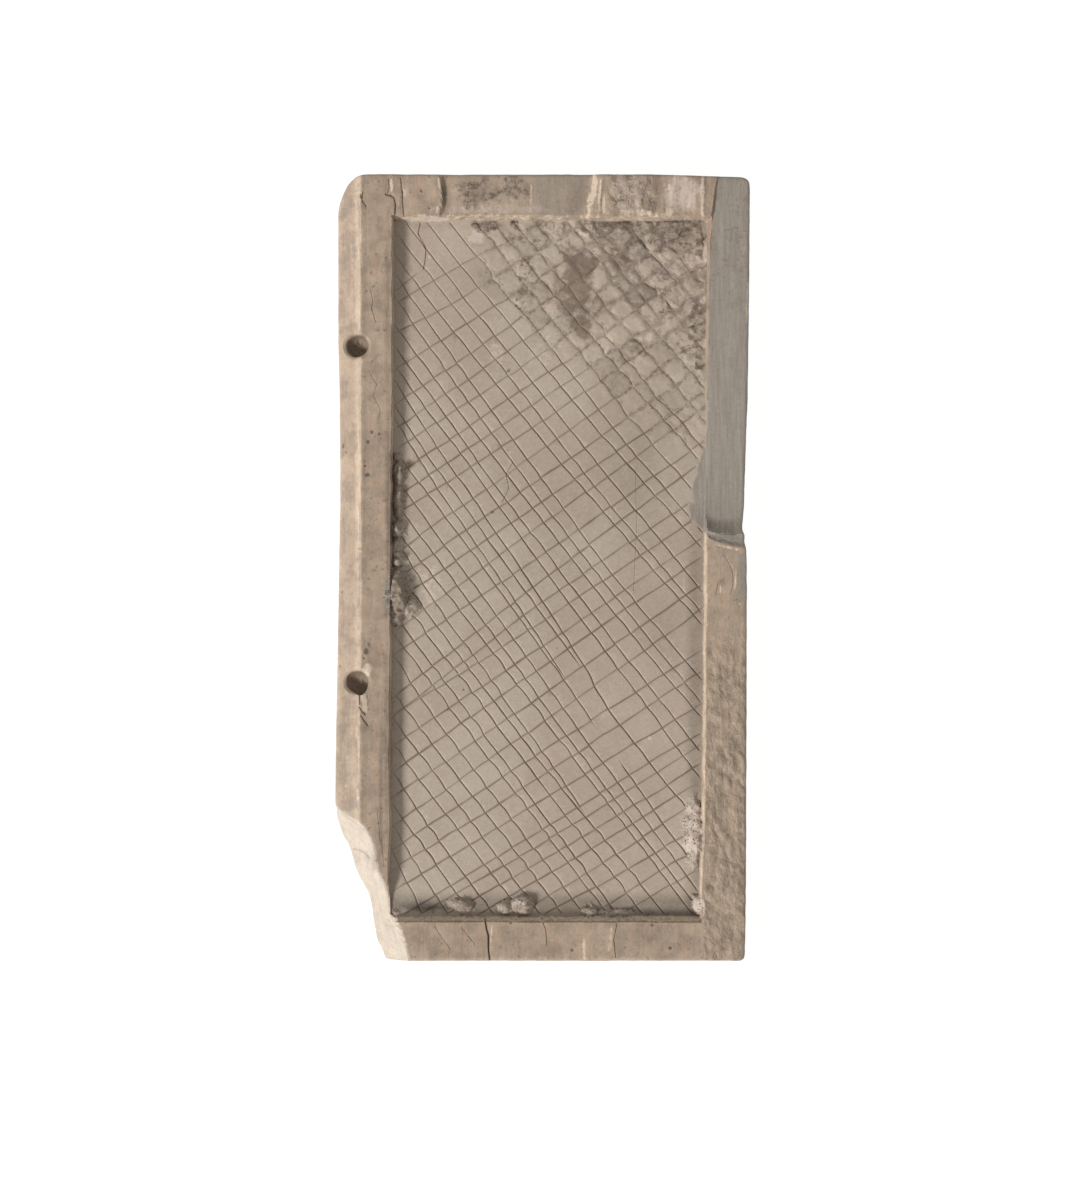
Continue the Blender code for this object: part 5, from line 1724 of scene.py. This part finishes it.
class TABLET_OT_stage(bpy.types.Operator):
    """Sets the pale table, the soft light and the camera that looks straight down"""

    bl_idname = "tablet.stage"
    bl_label = "Stage"

    def execute(self, context):
        scene = context.scene
        sizes = scene.tablet_stage
        half = sizes.floor_width / 2
        mesh = bpy.data.meshes.new("pale_table")
        corners = [(-half, -half), (half, -half), (half, half), (-half, half)]
        mesh.from_pydata([(x, y, -TABLE_GAP) for x, y in corners], [], [(0, 1, 2, 3)])
        table = added("pale_table", mesh)
        mesh.materials.append(table_material(sizes.table_glow))

        key = bpy.data.lights.new("key_light", "SUN")
        key.energy, key.angle = sizes.key_strength, sizes.light_angle
        lamp = added("key_light", key)
        level = math.cos(sizes.light_height)
        towards = Vector((level * math.cos(sizes.light_from), level * math.sin(sizes.light_from),
                          math.sin(sizes.light_height)))
        lamp.rotation_euler = towards.to_track_quat("Z", "Y").to_euler()
        lamp.location = towards

        world = bpy.data.worlds.new("soft_fill")
        world.use_nodes = True
        sky = world.node_tree.nodes["Background"]
        sky.inputs["Color"].default_value = (1.0, 1.0, 1.0, 1.0)
        sky.inputs["Strength"].default_value = sizes.fill_strength
        scene.world = world
        scene.view_settings.view_transform = "Standard"

        lens = bpy.data.cameras.new("camera")
        lens.sensor_fit = "VERTICAL"
        lens.sensor_height = 36.0
        seen_height = PHOTO_SIZE_PX[1] * PX * MM
        lens.lens = lens.sensor_height * (sizes.camera_height - CAD_HIGH.z) / seen_height
        eye = added("camera", lens)
        middle = ((PHOTO_SIZE_PX[0] / 2 - CENTRE_PX[0]) * PX * MM,
                  (CENTRE_PX[1] - PHOTO_SIZE_PX[1] / 2) * PX * MM)
        eye.location = (*middle, sizes.camera_height)
        scene.camera = eye
        return {"FINISHED"}


class TABLET_PT_panel(bpy.types.Panel):
    """Sizes and colours of the tablet, and a button for each piece"""

    bl_idname = "TABLET_PT_panel"
    bl_label = "Writing Tablet"
    bl_space_type = "VIEW_3D"
    bl_region_type = "UI"
    bl_category = "Tablet"

    def draw(self, context):
        scene = context.scene
        for group, operator in ((scene.tablet_leaf, TABLET_OT_ivory_leaf), (scene.tablet_scoring, None),
                                (scene.tablet_colours, None), (scene.tablet_crumbs, TABLET_OT_dirt_grains),
                                (scene.tablet_stage, TABLET_OT_stage)):
            box = self.layout.box()
            for name in group.__annotations__:
                box.prop(group, name)
            if operator:
                box.operator(operator.bl_idname)


GROUPS = {
    "tablet_leaf": IvoryLeafSizes,
    "tablet_scoring": ScoringSizes,
    "tablet_colours": IvoryColours,
    "tablet_crumbs": CrumbSizes,
    "tablet_stage": StageSizes,
}
OPERATORS = (TABLET_OT_ivory_leaf, TABLET_OT_dirt_grains, TABLET_OT_stage)


def register():
    for name, group in GROUPS.items():
        bpy.utils.register_class(group)
        setattr(bpy.types.Scene, name, bpy.props.PointerProperty(type=group))
    for kind in (*OPERATORS, TABLET_PT_panel):
        bpy.utils.register_class(kind)


def unregister():
    for kind in reversed((*OPERATORS, TABLET_PT_panel)):
        bpy.utils.unregister_class(kind)
    for name, group in reversed(GROUPS.items()):
        delattr(bpy.types.Scene, name)
        bpy.utils.unregister_class(group)


def main():
    register()
    for build in (bpy.ops.tablet.ivory_leaf, bpy.ops.tablet.dirt_grains, bpy.ops.tablet.stage):
        build()


if __name__ == "__main__":
    main()
